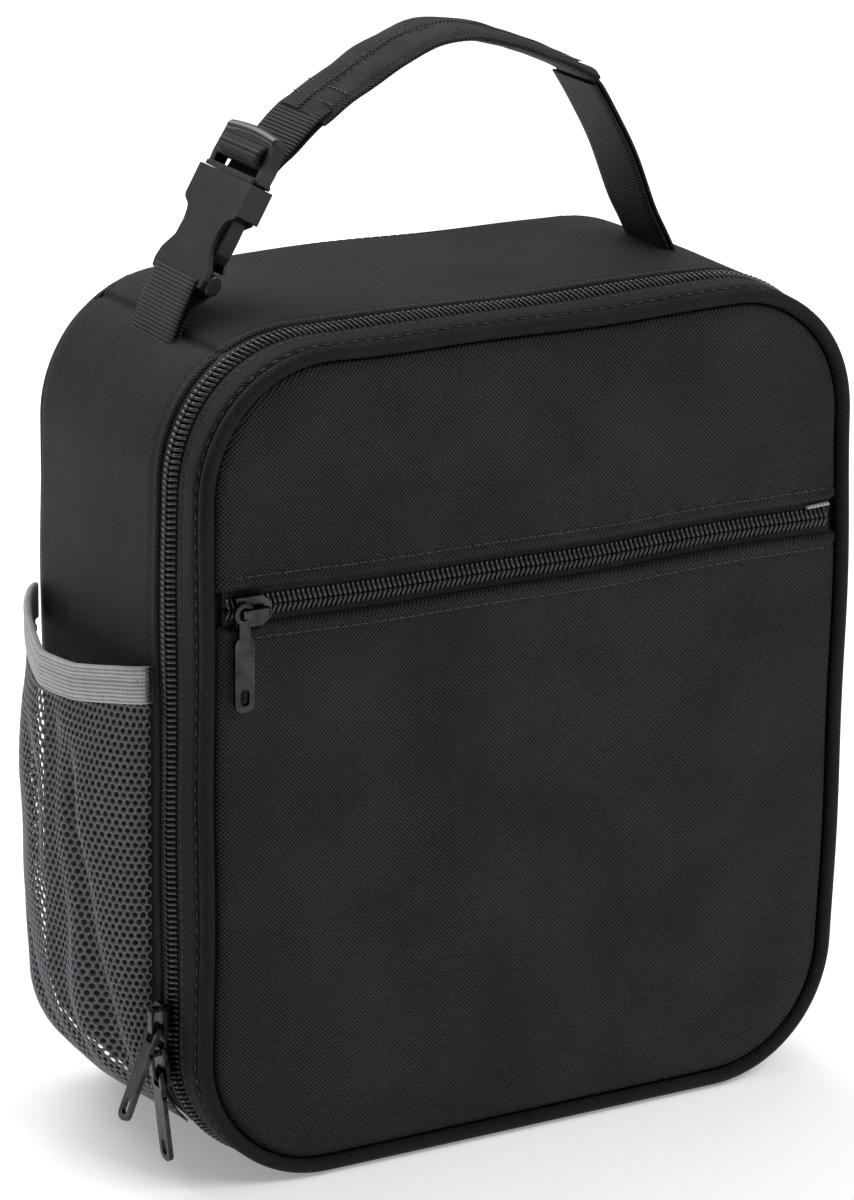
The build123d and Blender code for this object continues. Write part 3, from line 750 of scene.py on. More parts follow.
def front_line(name, z, x0, x1, pitch=3.0, length=2.2, lift=0.1, mat="thread"):
    x = np.arange(x0, x1, 0.6)
    z_line = np.full(len(x), z)
    edge, direction = (upper_edge, 1) if z > POCKET_Z else (lower_edge, -1)
    y = front_y(x, z_line) + zip_roll(z_line, edge, direction) - lift
    path = soft(np.stack([x, y, z_line], axis=-1))
    obj = stitches(name, path, mat, pitch, length, 0.2)
    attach(obj, "lid")
    return obj


front_line("pocket_zip_stitches_upper", upper_edge + 4.1, -99, 99)
front_line("pocket_zip_stitches_lower", lower_edge - 4.1, -99, 99)

# ---------------------------------------------------------------- pocket zip
tape_x = np.linspace(-101.0, 101.0, 102)
for part, s in (("upper", 1), ("lower", -1)):
    zz = POCKET_Z + s * np.linspace(0.4, 9.5, 8)
    Xt, Zt = np.meshgrid(tape_x, zz, indexing="ij")
    Yt = FRONT + 2.4 + 0.05 * np.sin(Xt / 5)
    tape = cloth(f"pocket_tape_{part}_cloth", soft(np.stack([Xt, Yt, Zt], axis=-1)), "tape", 0.5,
                 outward=-1 if s < 0 else 1)
    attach(tape, "lid")
    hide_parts(f"pocket_tape_{part}")
    x = np.arange(-100.0, 99.0, 1.6)
    outer = np.stack([x, np.full(len(x), FRONT + 1.85), np.full(len(x), POCKET_Z + s * 2.75)], axis=-1)
    inner = np.stack([x + 0.6, np.full(len(x), FRONT + 1.3), np.full(len(x), POCKET_Z + s * 0.55)], axis=-1)
    coil = capsules(f"pocket_coil_{part}_turns", soft(outer), soft(inner), 0.6, "coil", flat=0.85)
    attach(coil, "lid")
    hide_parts(f"pocket_coil_{part}")

# A pale sliver at the right end of the pocket zip is a painted highlight: a light grey cord where the coil
# catches the light.
highlight_x = np.linspace(92.0, 99.5, 10)
highlight_line = np.stack([highlight_x, np.full(10, FRONT + 0.9), upper_edge - 1.0 + 0.35 * (highlight_x - 92) / 7.5], axis=-1)
zip_end_highlight = tube("pocket_zip_painted_highlight", soft(highlight_line), 0.75, "elastic", sides=8, squash=(0.6, 1.2))
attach(zip_end_highlight, "lid")
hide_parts("pocket_stop_right", "pocket_stop_left")

# ---------------------------------------------------------------- mesh pocket
MESH_FRONT, MESH_BACK = -24.5, 51.5
HOLE = 2.45


def pocket_point(t, z):
    """The draped pocket: t runs from the front seam to the back seam, z is the height."""
    t, z = np.broadcast_arrays(np.asarray(t, float), np.asarray(z, float))
    bulge = np.interp(z, [12, 15, 21, 28, 42, 55, 68, 105, 129, 141, 154],
                      [0.6, 3.5, 8.5, 12, 15.5, 17, 18, 18.5, 17, 14.5, 13])
    skew = t ** 0.9
    shape = np.sin(np.pi * skew) ** 0.62
    base = -half_width(np.clip(z, 8, HEIGHT / 2), 0.0) - 0.5
    x = base - bulge * shape
    y = MESH_FRONT + (MESH_BACK - MESH_FRONT) * t

    def fold(t0, z0, t1, z1, depth, width):
        """A crease along a line of the cloth."""
        dt, dz = (t1 - t0) * 76, z1 - z0
        length = math.hypot(dt, dz)
        a = ((t - t0) * 76 * dt + (z - z0) * dz) / length / length
        across = ((t - t0) * 76 * dz - (z - z0) * dt) / length
        ends = np.clip(np.minimum(a, 1 - a) / 0.25 + 0.6, 0, 1)
        return depth * ends * np.exp(-(across / width) ** 2)

    dent = fold(0.30, 118, 0.10, 26, 6.0, 4.0) + fold(0.44, 136, 0.33, 60, 2.6, 5.0) \
        + fold(0.62, 120, 0.30, 30, 2.4, 4.5) + fold(0.80, 70, 0.45, 22, 2.0, 4.0) \
        - fold(0.22, 112, 0.22, 30, 2.0, 5.0) - fold(0.5, 90, 0.36, 34, 1.2, 5.0)
    ripple = 0.7 * np.sin(z / 17 + 5 * t) * np.sin(7 * t + z / 40) + 0.35 * np.sin(z / 7 + 9 * t)
    hold = np.sin(np.pi * np.clip(t, 0, 1)) ** 0.5 * np.clip((z - 14) / 20, 0, 1)
    x = x + dent * hold * np.clip((150 - z) / 20, 0, 1) + ripple * hold
    return np.stack([np.minimum(x, base - 0.4), y, z + 0.0 * t], axis=-1)


def knit(t_count, z_values, rim):
    """Mesh cloth: a net of round-cornered holes, each ring of yarn shared with its neighbours."""
    verts, uvs, faces = [], [], []
    index = {}

    def vertex(s, z):
        key = (round(s, 2), round(z, 2))
        if key not in index:
            index[key] = len(verts)
            verts.append((s, z))
        return index[key]

    r_in = HOLE * 0.5 * (1 - rim)
    for row, zc in enumerate(z_values):
        for col in range(t_count):
            sc = (col + 0.5 * (row % 2) + 0.5) * HOLE
            outer, inner = [], []
            for k in range(6):
                a = math.radians(60 * k + 30)
                outer.append(vertex(sc + HOLE / math.sqrt(3) * math.cos(a),
                                    zc + HOLE / math.sqrt(3) * math.sin(a)))
                inner.append(len(verts))
                verts.append((sc + r_in * 1.12 * math.cos(a), zc + r_in * 1.12 * math.sin(a)))
            for k in range(6):
                k2 = (k + 1) % 6
                faces.append((outer[k], outer[k2], inner[k2], inner[k]))
    flat = np.array(verts)
    return flat, np.array(faces)


mesh_rows = np.arange(14.0, 146.0, HOLE * math.sqrt(3) / 2)
girth = 104.0
flat, quads = knit(int(girth / HOLE), mesh_rows, 0.36)
t_flat = np.clip((flat[:, 0] - 0.3) / (int(girth / HOLE) * HOLE + 0.6), 0, 1)

# t is measured along the cloth, so that the holes keep their size round the bulge
probe = pocket_point(np.linspace(0, 1, 200)[:, None], np.linspace(14, 146, 30)[None])
steps = np.linalg.norm(np.diff(probe, axis=0), axis=-1)
along = np.concatenate([np.zeros((1, 30)), np.cumsum(steps, axis=0)])
along = (along / along[-1]).mean(axis=1)
t_even = np.interp(t_flat, along, np.linspace(0, 1, 200))
front_p = pocket_point(t_even, flat[:, 1])
eps = 0.01
du = pocket_point(np.clip(t_even + eps, 0, 1), flat[:, 1]) \
    - pocket_point(np.clip(t_even - eps, 0, 1), flat[:, 1])
dv = pocket_point(t_even, flat[:, 1] + 0.5) - pocket_point(t_even, flat[:, 1] - 0.5)
n = np.cross(dv, du)
n /= np.linalg.norm(n, axis=1, keepdims=True)
n *= np.sign(-n[:, :1] + 1e-6)
m = len(flat)
is_outer = np.ones(m, bool)
is_outer[np.unique(quads[:, 2:])] = False
crown = np.where(is_outer, 0.28, 0.0)[:, None]
P_front, P_back = front_p + n * (0.1 + crown), front_p - n * (0.3 + crown * 0.3)
a, b, c, d4 = quads.T
walls = np.stack([d4, c, c + m, d4 + m], axis=-1)
net = new_object("mesh_pocket_net", np.concatenate([P_front, P_back]),
                 np.concatenate([quads, quads[:, ::-1] + m, walls]), "knit", np.concatenate([flat, flat]))
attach(net, "tub")
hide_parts("mesh_pocket")

# Elastic binding: doubled over the top edge of the net, sagging between its ends
t_b = np.linspace(-0.012, 1.0, 120)
sag = np.interp(t_b, [0, 0.1, 0.3, 0.55, 0.8, 1.0], [143.5, 142.5, 139.5, 138.0, 141.0, 146.5])
tall = 11.0
rows_b = []
section = [(0.0, 0.35), (0.02, 0.75), (0.12, 1.0), (0.35, 1.05), (0.60, 1.0), (0.66, 0.78), (0.72, 1.0),
           (0.88, 1.15),
           (0.97, 0.9), (1.0, 0.3), (1.0, -0.5), (0.96, -0.9), (0.5, -0.9), (0.05, -0.9), (0.0, -0.5)]
eps_t = 0.004
base_b = pocket_point(np.clip(t_b, 0, 1), sag + 5)
tang = pocket_point(np.clip(t_b + eps_t, 0, 1), sag + 5) - pocket_point(np.clip(t_b - eps_t, 0, 1), sag + 5)
out = np.stack([-tang[:, 1], tang[:, 0], np.zeros(len(t_b))], axis=-1)
out /= np.maximum(np.linalg.norm(out, axis=1, keepdims=True), 1e-9)
out *= np.sign(-out[:, :1] + 1e-6)
for h, off in section:
    row = base_b + out * (off * 1.15)
    row[:, 2] = sag + h * tall
    rows_b.append(row)
P = np.stack(rows_b, axis=1)
girth_b = np.concatenate([[0], np.cumsum(np.linalg.norm(np.diff(base_b, axis=0), axis=1))])
uv = np.stack([np.repeat(girth_b[:, None], len(section), 1),
               np.repeat((np.array(section)[:, 0] * tall)[None], len(t_b), 0)], axis=-1)
k = len(section)
faces = [(i * k + j, (i + 1) * k + j, (i + 1) * k + (j + 1) % k, i * k + (j + 1) % k)
         for i in range(len(t_b) - 1) for j in range(k)]
faces += [tuple(range(k))[::-1], tuple(range((len(t_b) - 1) * k, len(t_b) * k))]
# v runs up the band, so the ribs of the elastic lie along it
binding = new_object("mesh_pocket_binding", P.reshape(-1, 3), faces, "elastic", uv.reshape(-1, 2)[:, ::-1])
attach(binding, "tub")
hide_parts("mesh_binding")
path = base_b + out * 1.05
path[:, 2] = sag + 0.36 * tall
obj = stitches("binding_stitches", path[2:], "dark_thread", 2.3, 1.7, 0.16)
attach(obj, "tub")
end_path = np.stack([np.full(12, base_b[3, 0] - 1.4), np.full(12, base_b[3, 1]),
                     sag[3] + np.linspace(0.8, 10.2, 12)], -1)
obj = stitches("binding_end_stitches", end_path, "dark_thread", 2.0, 1.6, 0.16)
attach(obj, "tub")

# ---------------------------------------------------------------- webbing handle
STRAP_Y = 9.5
WEB = 25.0


def strap(name, line, width, thick, mat="webbing", arch=0.0, y=STRAP_Y):
    """Flat webbing along a front-view centre line. arch crowns it across its width."""
    line = smooth_path([(x, y, z) for x, z in line], 0.8)
    tangent = np.gradient(line, axis=0)
    tangent /= np.linalg.norm(tangent, axis=1, keepdims=True)
    n = np.stack([-tangent[:, 2], np.zeros(len(line)), tangent[:, 0]], axis=-1)
    across = np.linspace(-1, 1, 17)
    lift = arch * (1 - across ** 2)
    drop = thick / 2 * np.where(np.abs(across) > 0.99, 0.45, 1.0)
    top = line[:, None] + n[:, None] * (lift + drop)[None, :, None]
    low = line[:, None] + n[:, None] * (lift - drop)[None, :, None]
    for rows in (top, low):
        rows[..., 1] += (across * width / 2)[None]
    ring = np.concatenate([top, low[:, ::-1]], axis=1)
    k = ring.shape[1]
    count = len(line)
    faces = [(i * k + j, (i + 1) * k + j, (i + 1) * k + (j + 1) % k, i * k + (j + 1) % k)
             for i in range(count - 1) for j in range(k)]
    for base in (0, (count - 1) * k):
        for j in range(16):
            quad = (base + j, base + j + 1, base + k - 2 - j, base + k - 1 - j)
            faces.append(quad if base else quad[::-1])
    length = np.concatenate([[0], np.cumsum(np.linalg.norm(np.diff(line, axis=0), axis=1))])
    CUTS[name] = (width, length[-1])
    v = np.concatenate([across, across[::-1]]) * width / 2
    uv = np.stack([np.repeat(length[:, None], k, 1), np.repeat(v[None], count, 0)], axis=-1)
    obj = new_object(name, ring.reshape(-1, 3), faces, mat, uv.reshape(-1, 2), smooth=False)
    obj.data.polygons.foreach_set("use_smooth", [True] * len(obj.data.polygons))
    obj.data.set_sharp_from_angle(angle=math.radians(50))
    return obj


# Right side: one run from the shoulder seam up into the sleeve
right_line = [(75.0, 246.5), (73.4, 250.4), (70.4, 256.2), (66.4, 263.8), (59.5, 280.5), (52, 294),
              (46.5, 302.6), (42.0, 305.8)]
web_right = strap("right_webbing", right_line, WEB, 1.5)
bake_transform(web_right)
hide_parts("right_anchor", "strap_right")
web_inner = strap("right_webbing_inner", [(x - 1.25, z - 0.75) for x, z in right_line[:-1]], WEB - 0.4, 1.1)
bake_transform(web_inner)

# The sleeve: cloth folded round the webbing with its overlap sewn down the middle
grip_line = [(-44.6, 299.2), (-38, 303.6), (-31, 307.5), (-18.6, 314.3), (-8, 318.4), (1, 319.6), (10, 318.3),
             (20, 315.2), (33, 310.2), (45.5, 304.2)]


def sleeve(name, line, width, thick):
    line = smooth_path([(x, STRAP_Y, z) for x, z in line], 0.9)
    tangent = np.gradient(line, axis=0)
    tangent /= np.linalg.norm(tangent, axis=1, keepdims=True)
    n = np.stack([-tangent[:, 2], np.zeros(len(line)), tangent[:, 0]], axis=-1)
    a = np.linspace(-1, 1, 41)
    crown = thick / 2 * (1 - np.abs(a) ** 3.5) ** 0.7
    overlap = 0.55 * (np.tanh((a + 0.02) / 0.012) + 1) / 2 * np.clip((1 - a) / 0.5, 0, 1)
    seam = -0.4 * np.exp(-((a + 0.05) / 0.03) ** 2) - 0.28 * np.exp(-((a - 0.1) / 0.03) ** 2) \
        - 0.22 * np.exp(-((a - 0.86) / 0.05) ** 2) - 0.22 * np.exp(-((a + 0.86) / 0.05) ** 2)
    upper_n = crown + overlap + seam
    lower_n = -crown * 0.8
    s = np.linspace(0, 1, len(line))[:, None]
    wob = 0.16 * np.sin(s * 40 + a[None] * 3) + 0.12 * np.sin(s * 23 - a[None] * 5)
    top = line[:, None] + n[:, None] * (upper_n[None] + wob)[..., None]
    low = line[:, None] + n[:, None] * (lower_n[None] + wob * 0.5)[..., None]
    for rows in (top, low):
        rows[..., 1] += (a * width / 2)[None] * (1 + 0.006 * np.sin(s * 31))
    ring = np.concatenate([top, low[:, -2:0:-1]], axis=1)
    k, count = ring.shape[1], len(line)
    faces = [(i * k + j, (i + 1) * k + j, (i + 1) * k + (j + 1) % k, i * k + (j + 1) % k)
             for i in range(count - 1) for j in range(k)]
    faces += [tuple(range(k))[::-1], tuple(range((count - 1) * k, count * k))]
    length = np.concatenate([[0], np.cumsum(np.linalg.norm(np.diff(line, axis=0), axis=1))])
    v = np.concatenate([a, 2 - a[-2:0:-1]]) * width / 2
    uv = np.stack([np.repeat(length[:, None], k, 1), np.repeat(v[None], count, 0)], axis=-1)
    obj = new_object(name, ring.reshape(-1, 3), faces, "grip", uv.reshape(-1, 2))
    return obj, line, n


grip, grip_mid, grip_n = sleeve("grip_sleeve_cloth", grip_line, 29.0, 4.4)
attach(grip, "handle")
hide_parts("grip_sleeve")
for k, (share, height) in enumerate(((-0.05, 2.0), (0.1, 2.55))):
    path = grip_mid + grip_n * height
    path[:, 1] += share * 29.0 / 2
    obj = stitches(f"grip_seam_stitches_{k}", path, "thread", 2.6, 1.9, 0.2)
    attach(obj, "handle")
for k, at in enumerate((6, 12, len(grip_mid) - 9)):
    row = np.stack([np.full(14, grip_mid[at, 0]), np.linspace(-4, 23, 14), np.full(14, grip_mid[at, 2])], -1)
    row += grip_n[at] * 2.25
    obj = stitches(f"grip_end_stitches_{k}", row, "thread", 2.4, 1.8, 0.2)
    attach(obj, "handle")

# ---------------------------------------------------------------- side-release buckle
LEAN = math.radians(60.5)
B_O = np.array([-80.6, STRAP_Y, 256.0])
B_X, B_Y = np.array([0, -1.0, 0]), np.array([math.cos(LEAN), 0, math.sin(LEAN)])
B_Z = np.array([-math.sin(LEAN), 0, math.cos(LEAN)])


def at_buckle(p):
    p = np.asarray(p, float)
    return B_O + p[..., :1] * B_X + p[..., 1:2] * B_Y + p[..., 2:] * B_Z


def finish_moulding(obj, width=0.35, segments=3):
    """Rounds the edges that a mould leaves soft."""
    mod = obj.modifiers.new("edge", "BEVEL")
    mod.width, mod.segments, mod.limit_method = width * MM, segments, "ANGLE"
    mod.angle_limit = math.radians(32)
    mod.harden_normals = True
    return obj


def moulding(name, outline_pts, z0, z1, holes=(), mat="plastic", place_fn=at_buckle, bevel=0.5, dome=0.0):
    """A moulded plate cut to an outline, with holes, between z0 and z1."""
    curve = bpy.data.curves.new(name, "CURVE")
    curve.dimensions, curve.fill_mode = "2D", "BOTH"
    for loop in [outline_pts, *holes]:
        spline = curve.splines.new("POLY")
        spline.points.add(len(loop) - 1)
        for point, (x, y) in zip(spline.points, loop):
            point.co = (x, y, 0, 1)
        spline.use_cyclic_u = True
    curve.extrude = (z1 - z0) / 2
    curve.bevel_depth = 0
    temp = bpy.data.objects.new(name + "_curve", curve)
    mesh = bpy.data.meshes.new_from_object(temp)
    bpy.data.objects.remove(temp)
    co = np.array([v.co for v in mesh.vertices], float)
    co[:, 2] += (z0 + z1) / 2
    if dome:
        reach = np.abs(co[:, 0]).max()
        co[:, 2] += np.sign(co[:, 2]) * -dome * (co[:, 0] / reach) ** 4
    world = place_fn(co) * MM
    for v, p in zip(mesh.vertices, world):
        v.co = p
    mesh.name = name
    mesh.materials.clear()
    mesh.materials.append(MAT[mat])
    obj = bpy.data.objects.new(name, mesh)
    bpy.context.scene.collection.objects.link(obj)
    weld = obj.modifiers.new("weld", "WELD")
    weld.merge_threshold = 0.01 * MM
    finish_moulding(obj, bevel)
    return obj


def rounded(points, r, n=6):
    """A closed outline with its corners rounded to r (one radius, or one for each corner)."""
    pts = [np.array(p, float) for p in points]
    radii = [r] * len(pts) if np.isscalar(r) else r
    out = []
    for i, p in enumerate(pts):
        a, b = pts[i - 1], pts[(i + 1) % len(pts)]
        u, v = (a - p) / np.linalg.norm(a - p), (b - p) / np.linalg.norm(b - p)
        half = math.acos(np.clip(u @ v, -1, 1)) / 2
        cut = min(radii[i] / math.tan(half), np.linalg.norm(a - p) * 0.48, np.linalg.norm(b - p) * 0.48)
        p0, p1 = p + u * cut, p + v * cut
        for t in np.linspace(0, 1, n):
            out.append(tuple((1 - t) ** 2 * p0 + 2 * t * (1 - t) * p + t * t * p1))
    return out


def socket_outline(half, waist, foot):
    """Parallel at the mouth, waisted where the prongs show, flared to the foot."""
    right_side = [(half, 31.0), (half, 21.5), (half - 0.6, 20.2), (waist + 1.2, 18.5), (waist, 14.5),
                  (waist + 0.4, 9.5), (foot - 0.8, 4.5), (foot, 1.2), (foot - 0.6, -1.6)]
    left_side = [(-x, y) for x, y in right_side[::-1]]
    return rounded(right_side + left_side, [1.2, 0.8, 1.0, 2.0, 3.0, 3.0, 2.0, 1.0, 0.8] * 2)


upper_shell = moulding("socket_upper_shell", socket_outline(15.9, 10.4, 15.6), 2.4, 3.9, bevel=0.55)
lower_foot = [(x * 0.9, max(y, 4.5)) for x, y in socket_outline(15.9, 10.4, 15.0)]
lower_shell = moulding("socket_lower_shell", lower_foot, -3.5, -2.4, bevel=0.4)
side_r = moulding("socket_side_front", rounded([(13.2, 20.9), (16.1, 20.9), (16.1, 31.0), (13.2, 31.0)], 0.5),
                  -3.6, 3.95, bevel=0.9)
side_l = moulding("socket_side_rear",
                  rounded([(-15.9, 20.9), (-13.2, 20.9), (-13.2, 31.0), (-15.9, 31.0)], 0.5),
                  -3.6, 3.95, bevel=0.9)
foot_line = np.stack([np.linspace(-15.4, 15.4, 40), np.full(40, 0.6), np.full(40, 0.0)], axis=-1)
foot_bar = tube("socket_foot_bar", at_buckle(foot_line), 3.1, "plastic", sides=20,
                squash=(1.0, 0.78), up_hint=B_Z)
finish_moulding(foot_bar, 0.7)
rib = moulding("socket_inner_rib",
               rounded([(-7.2, 3.0), (7.2, 3.0), (6.8, 9.5), (-6.8, 9.5)], 0.6), -2.6, 2.6)
for obj in (upper_shell, lower_shell, side_r, side_l, foot_bar, rib):
    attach(obj, "handle")
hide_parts("buckle_socket")

# Plug: a frame with the webbing round its middle bar, and a neck that closes the socket's mouth
plug_frame = moulding("plug_frame", rounded([(-15.2, 31.3), (15.2, 31.3), (15.6, 36.0), (14.6, 45.4),
                                             (-14.6, 45.4),
                                             (-15.6, 36.0)], [0.8, 0.8, 3, 2.4, 2.4, 3]), -2.1, 2.1,
                      holes=[rounded([(-13.0, 33.0), (13.0, 33.0), (13.0, 37.9), (-13.0, 37.9)], 0.5),
                             rounded([(-12.9, 40.1), (12.9, 40.1), (12.6, 42.2), (-12.6, 42.2)], 0.5)],
                      bevel=0.6)
collar = moulding("plug_collar",
                  rounded([(-14.2, 31.2), (14.2, 31.2), (14.2, 32.6), (-14.2, 32.6)], 0.4), -3.2, 3.3,
                  bevel=0.6)
top_bar = tube("plug_top_bar", at_buckle(np.stack([np.linspace(-14.3, 14.3, 40), 44.0 + 0.9 * np.cos(
    np.linspace(-1.5, 1.5, 40)), np.full(40, 0.5)], axis=-1)), 1.9, "plastic", sides=18, squash=(1.0, 1.15),
    up_hint=B_Z)
finish_moulding(top_bar, 0.5)
guide = moulding("plug_guide",
                 rounded([(-1.6, 12.5), (1.6, 12.5), (1.6, 31.4), (-1.6, 31.4)], 0.5), -1.5, 1.5)
for obj in (plug_frame, collar, top_bar, guide):
    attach(obj, "plug")
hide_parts("buckle_plug")
for body, s in (("front_prong", 1), ("rear_prong", -1)):
    leaf = [(9.8, 31.0), (12.3, 31.0), (12.0, 22.0), (12.7, 19.6), (12.9, 14.5), (12.7, 9.4), (11.6, 6.6),
            (10.4, 7.2), (9.9, 12.0), (9.5, 17.0), (9.7, 24.0)]
    prong = moulding(body + "_leaf", rounded([(s * x, y) for x, y in (leaf if s > 0 else leaf[::-1])],
                                             [0.5, 0.5, 1, 1.5, 3, 2, 1, 0.5, 2, 2, 1]), -2.2, 2.2, bevel=0.7)
    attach(prong, body)
    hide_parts(body)


def loop_section(name, y_mid, rx, rz, thick, width, wrap=(0.0, 2 * math.pi)):
    """Webbing folded round a bar of the buckle."""
    a = np.linspace(wrap[0], wrap[1], 30)
    across = np.linspace(-1, 1, 15) * width / 2
    P = np.empty((30, 15, 3))
    P[..., 0] = across[None]
    P[..., 1] = (y_mid + (rx + thick) * np.cos(a))[:, None]
    P[..., 2] = ((rz + thick) * np.sin(a))[:, None]
    uv = np.stack([np.repeat((a * (rz + thick))[:, None], 15, 1), np.repeat(across[None], 30, 0)], -1)
    return cloth(name, at_buckle(P), "webbing", thick, uv=uv, outward=-1)


fold = loop_section("plug_webbing_fold", 38.85, 1.3, 1.6, 1.2, WEB - 1.0, (-1.1, 2 * math.pi - 1.9))
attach(fold, "plug")
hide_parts("plug_loop")

# Webbing from the plug's bar to the sleeve, in two layers
left_upper = [(-60.6, 287.9), (-58.2, 288.6), (-54.0, 292.4), (-49.2, 297.1), (-45.2, 300.4), (-41.5, 302.4)]
left_lower = [(-63.8, 280.3), (-61.0, 284.6), (-57.6, 288.0), (-53.1, 291.4), (-48.4, 295.6), (-44.3, 298.9),
              (-40.5, 300.9)]
for name, line, wide in (("left_strap_upper", left_upper, WEB), ("left_strap_lower", left_lower, WEB - 0.3)):
    obj = strap(name, line, wide, 1.3)
    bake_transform(obj)
    if name == "left_strap_upper":
        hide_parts("strap_left")

# Left anchor: two layers out of the shoulder seam, round the socket's foot bar
anchor_top = [(-92.8, 238.6), (-91.2, 243.4), (-89.2, 248.4), (-87.1, 252.6), (-85.6, 255.6), (-84.0, 258.2)]
anchor_low = [(-90.4, 240.8), (-88.9, 244.4), (-86.0, 248.8), (-82.6, 251.8), (-79.6, 253.4), (-77.6, 255.6)]
for name, line in (("left_webbing", anchor_top), ("left_webbing_inner", anchor_low)):
    obj = strap(name, line, WEB, 1.4)
    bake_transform(obj)
    if name == "left_webbing":
        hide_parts("left_anchor", "left_loop")

# ---------------------------------------------------------------- sliders and tabs
for node in ("upper_slider", "lower_slider", "pocket_slider", "upper_pull", "lower_pull", "pocket_pull"):
    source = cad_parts[node]
    mesh = source.data.copy()
    mesh.materials.clear()
    mesh.materials.append(MAT["metal"])
    obj = bpy.data.objects.new(node + "_cast", mesh)
    bpy.context.scene.collection.objects.link(obj)
    weld = obj.modifiers.new("weld", "WELD")
    weld.merge_threshold = 0.005 * MM
    finish_moulding(obj, 0.22, 3)
    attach(obj, node)
    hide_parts(node)

# ---------------------------------------------------------------- inside: foam, liners and binding
FOAM_T = 3.8
FOAM_INSET = 2.8
LINER_INSET = 6.9
FOAM_BACK = BACK - 2.8


def crinkle(P, normal_axis_y=True):
    """Small folds in a thin liner."""
    x, y, z = P[..., 0], P[..., 1], P[..., 2]
    a = 0.22 * np.sin(x / 5.3 + 1.7 * np.sin(z / 19)) * np.sin(z / 7.1 + 1.3 * np.sin(x / 23))
    a += 0.16 * np.sin((x + z) / 3.9 + 2 * np.sin(y / 11)) + 0.12 * np.sin((x - z + y) / 2.9)
    out = P.copy()
    if normal_axis_y:
        out[..., 1] += a
    else:
        inward = [np.sign(x) * np.abs(a), np.zeros_like(a), np.sign(z - HEIGHT / 2) * np.abs(a)]
        out -= np.stack(inward, -1) * 0.7
    return out


foam_p = fine_profile([(TUB_FRONT + 2.2, FOAM_INSET), (FOAM_BACK - FOAM_T - 0.4, FOAM_INSET)], 5.0)
P = soft(side_bulge(band(foam_p)))
foam_ring = cloth("tub_wall_foam", P, "foam", FOAM_T, closed_u=True, outward=1)
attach(foam_ring, "tub")
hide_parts("top_foam", "left_foam", "right_foam", "bottom_foam")
X, Z = panel_grid(FOAM_INSET, HEIGHT - FOAM_INSET, FOAM_INSET, 40, 36)
Y = np.full_like(X, FOAM_BACK - 0.4) + 0.15 * np.sin(X / 21) * np.sin(Z / 25)
foam_rear = cloth("tub_back_foam", np.stack([X, Y, Z], -1), "foam", FOAM_T,
                  uv=np.stack([X, Z], -1), outward=1)
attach(foam_rear, "tub")
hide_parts("back_foam")

wall_p = fine_profile([(TUB_FRONT + 1.6, LINER_INSET), (FOAM_BACK - FOAM_T - 1.8, LINER_INSET)], 2.6)
P = crinkle(soft(side_bulge(band(wall_p))), False)
liner_wall = cloth("liner_wall_film", P, "liner", 0.5, closed_u=True, outward=1)
X, Z = panel_grid(LINER_INSET, HEIGHT - LINER_INSET, LINER_INSET, 90, 80)
P = crinkle(np.stack([X, np.full_like(X, FOAM_BACK - FOAM_T - 1.4), Z], -1))
liner_rear = cloth("liner_back_film", P, "liner", 0.5, uv=np.stack([X, Z], -1), outward=-1)
weld_path = band([(FOAM_BACK - FOAM_T - 1.9, LINER_INSET + 0.3)])[:, 0]
weld_bead = tube("liner_corner_weld", resample(weld_path, 2.5, closed=True), 0.8, "liner",
                 closed=True, sides=10)
for obj in (liner_wall, liner_rear, weld_bead):
    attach(obj, "tub")
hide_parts("tub_liner")

binding_p = [(TUB_FRONT + 5.0, LINER_INSET + 1.1), (TUB_FRONT + 2.4, LINER_INSET + 1.3),
             (TUB_FRONT + 0.7, LINER_INSET + 1.1), (TUB_FRONT + 0.05, LINER_INSET + 0.2),
             (TUB_FRONT - 0.1, LINER_INSET - 1.8), (TUB_FRONT - 0.1, 4.0), (TUB_FRONT + 0.3, 2.7)]
P = soft(band(fine_profile(binding_p, 0.9)))
rim_cloth = cloth("rim_binding_cloth", P, "gusset", 0.5, closed_u=True, outward=1)
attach(rim_cloth, "tub")
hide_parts("rim_binding")
rim_stitches("rim_binding_stitches", TUB_FRONT + 3.4, LINER_INSET + 1.25, "tub")

# Lid: pocket back, foam and liner, all above the hinge cut
LID_LOW = 24.0
X, Z = panel_grid(LID_LOW, HEIGHT - 4.8, 4.8, 60, 56)
P = np.stack([X, FRONT + 5.0 + 0.15 * np.sin(X / 17) * np.sin(Z / 19), Z], -1)
pocket_lining = cloth("pocket_lining", P, "gusset", 0.5, uv=np.stack([X, Z], -1), outward=-1)
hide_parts("pocket_back")
X, Z = panel_grid(LID_LOW, HEIGHT - 5.6, 5.6, 50, 46)
P = np.stack([X, FRONT + 6.2 + 0.1 * np.sin(X / 23), Z], -1)
lid_pad = cloth("lid_pad_foam", P, "foam", 4.8, uv=np.stack([X, Z], -1), outward=-1)
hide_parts("lid_foam")
X, Z = panel_grid(LID_LOW - 1.5, HEIGHT - 3.4, 3.4, 90, 84)
P = np.stack([X, np.full_like(X, FRONT + 12.5), Z], -1)
P[..., 1] = crinkle(P)[..., 1] - 0.6 * np.exp(-np.maximum(edge_distance(X, Z, 3.4), 0) / 2.0)
lid_film = cloth("lid_liner_film", P, "liner", 0.5, uv=np.stack([X, Z], -1), outward=1)
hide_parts("lid_liner")
for obj in (pocket_lining, lid_pad, lid_film):
    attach(obj, "lid")
hinge_y = FRONT + 12.0
X, Z = np.meshgrid(np.linspace(-80, 80, 60), np.linspace(5.0, LID_LOW, 22))
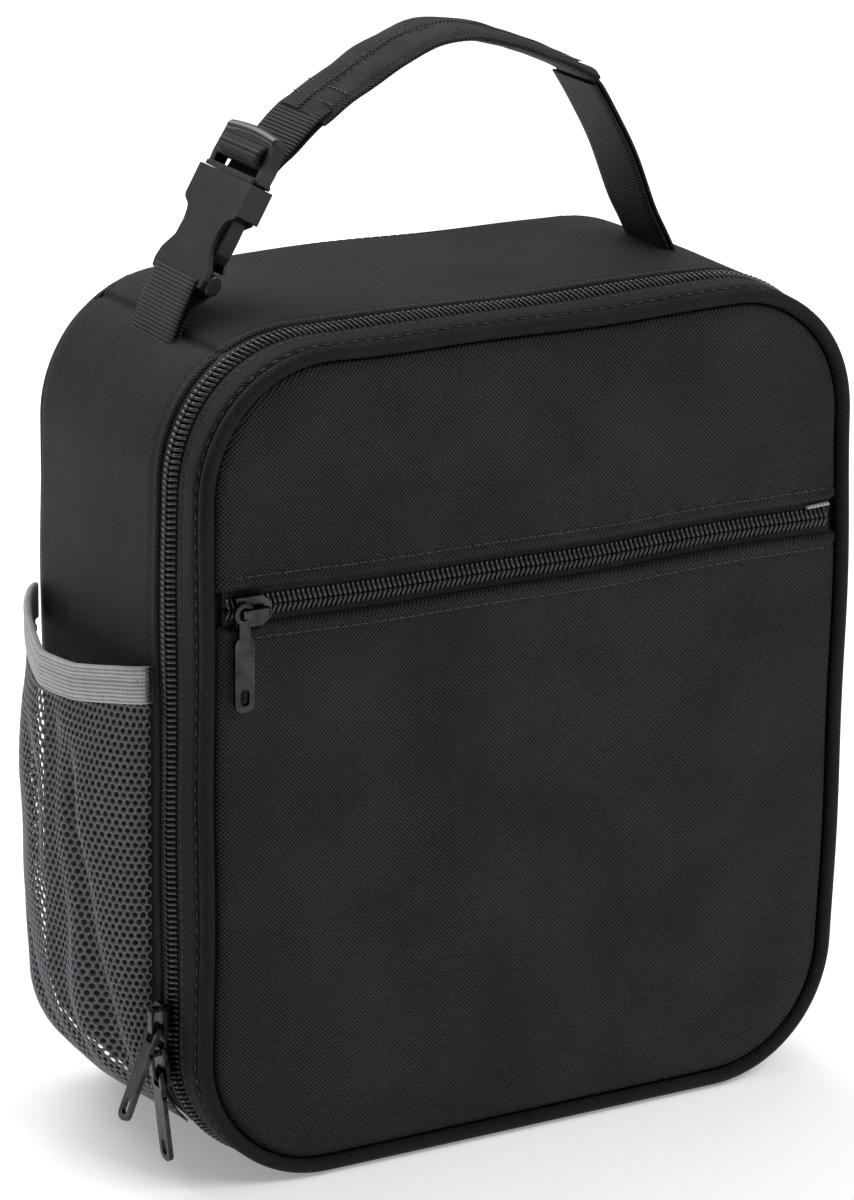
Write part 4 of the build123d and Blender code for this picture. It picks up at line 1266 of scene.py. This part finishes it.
Y = hinge_y + 0.25 * np.sin(X / 6.0) * np.sin(Z / 5)
hinge_film = cloth("hinge_lining", np.stack([X, Y, Z], -1), "gusset", 0.5, uv=np.stack([X, Z], -1), outward=1)
on_lid(hinge_film)

# ---------------------------------------------------------------- soft pieces
# The spans are those of the finished grids: they are not cut sizes. The loop only reads and clamps them.
for obj, (wide, long) in CUTS.items():
    if obj in ("tub_wall_foam", "tub_back_foam", "lid_pad_foam"):
        continue
    wide, long = max(wide * MM, 0.0101), max(long * MM, 0.0101)

# ---------------------------------------------------------------- floor and lights
floor_mesh = bpy.data.meshes.new("floor")
floor_mesh.from_pydata([(-6, -6, 0), (6, -6, 0), (6, 6, 0), (-6, 6, 0)], [], [(0, 1, 2, 3)])
pale = Nodes("pale_floor").finish(Base_Color=(0.92, 0.93, 0.92, 1), Roughness=0.7, Specular_IOR_Level=0.2,
                                  Emission_Color=(1.0, 1.0, 1.0, 1), Emission_Strength=0.28)
floor_mesh.materials.append(pale)
floor = bpy.data.objects.new("floor", floor_mesh)
bpy.context.scene.collection.objects.link(floor)

world = bpy.data.worlds.new("studio")
bpy.context.scene.world = world
world.use_nodes = True
world.node_tree.nodes["Background"].inputs[0].default_value = (1.0, 1.0, 1.0, 1)
world.node_tree.nodes["Background"].inputs[1].default_value = 0.28
bpy.context.scene.view_settings.view_transform = "Standard"


def softbox(name, place, size, power, aim=(0, 0, 0.15)):
    light = bpy.data.lights.new(name, "AREA")
    light.shape, light.size, light.size_y = "RECTANGLE", size[0], size[1]
    light.energy = power
    obj = bpy.data.objects.new(name, light)
    bpy.context.scene.collection.objects.link(obj)
    obj.location = place
    obj.rotation_mode = "QUATERNION"
    obj.rotation_quaternion = (Vector(place) - Vector(aim)).to_track_quat("Z", "Y")
    return obj


softbox("key", (0.5, -1.0, 1.2), (0.9, 0.6), 13)
softbox("top", (0.15, 0.25, 1.3), (0.9, 0.9), 5)
softbox("back_floor", (-0.4, 2.2, 1.6), (3.0, 1.6), 60, aim=(-0.6, 2.2, 0))
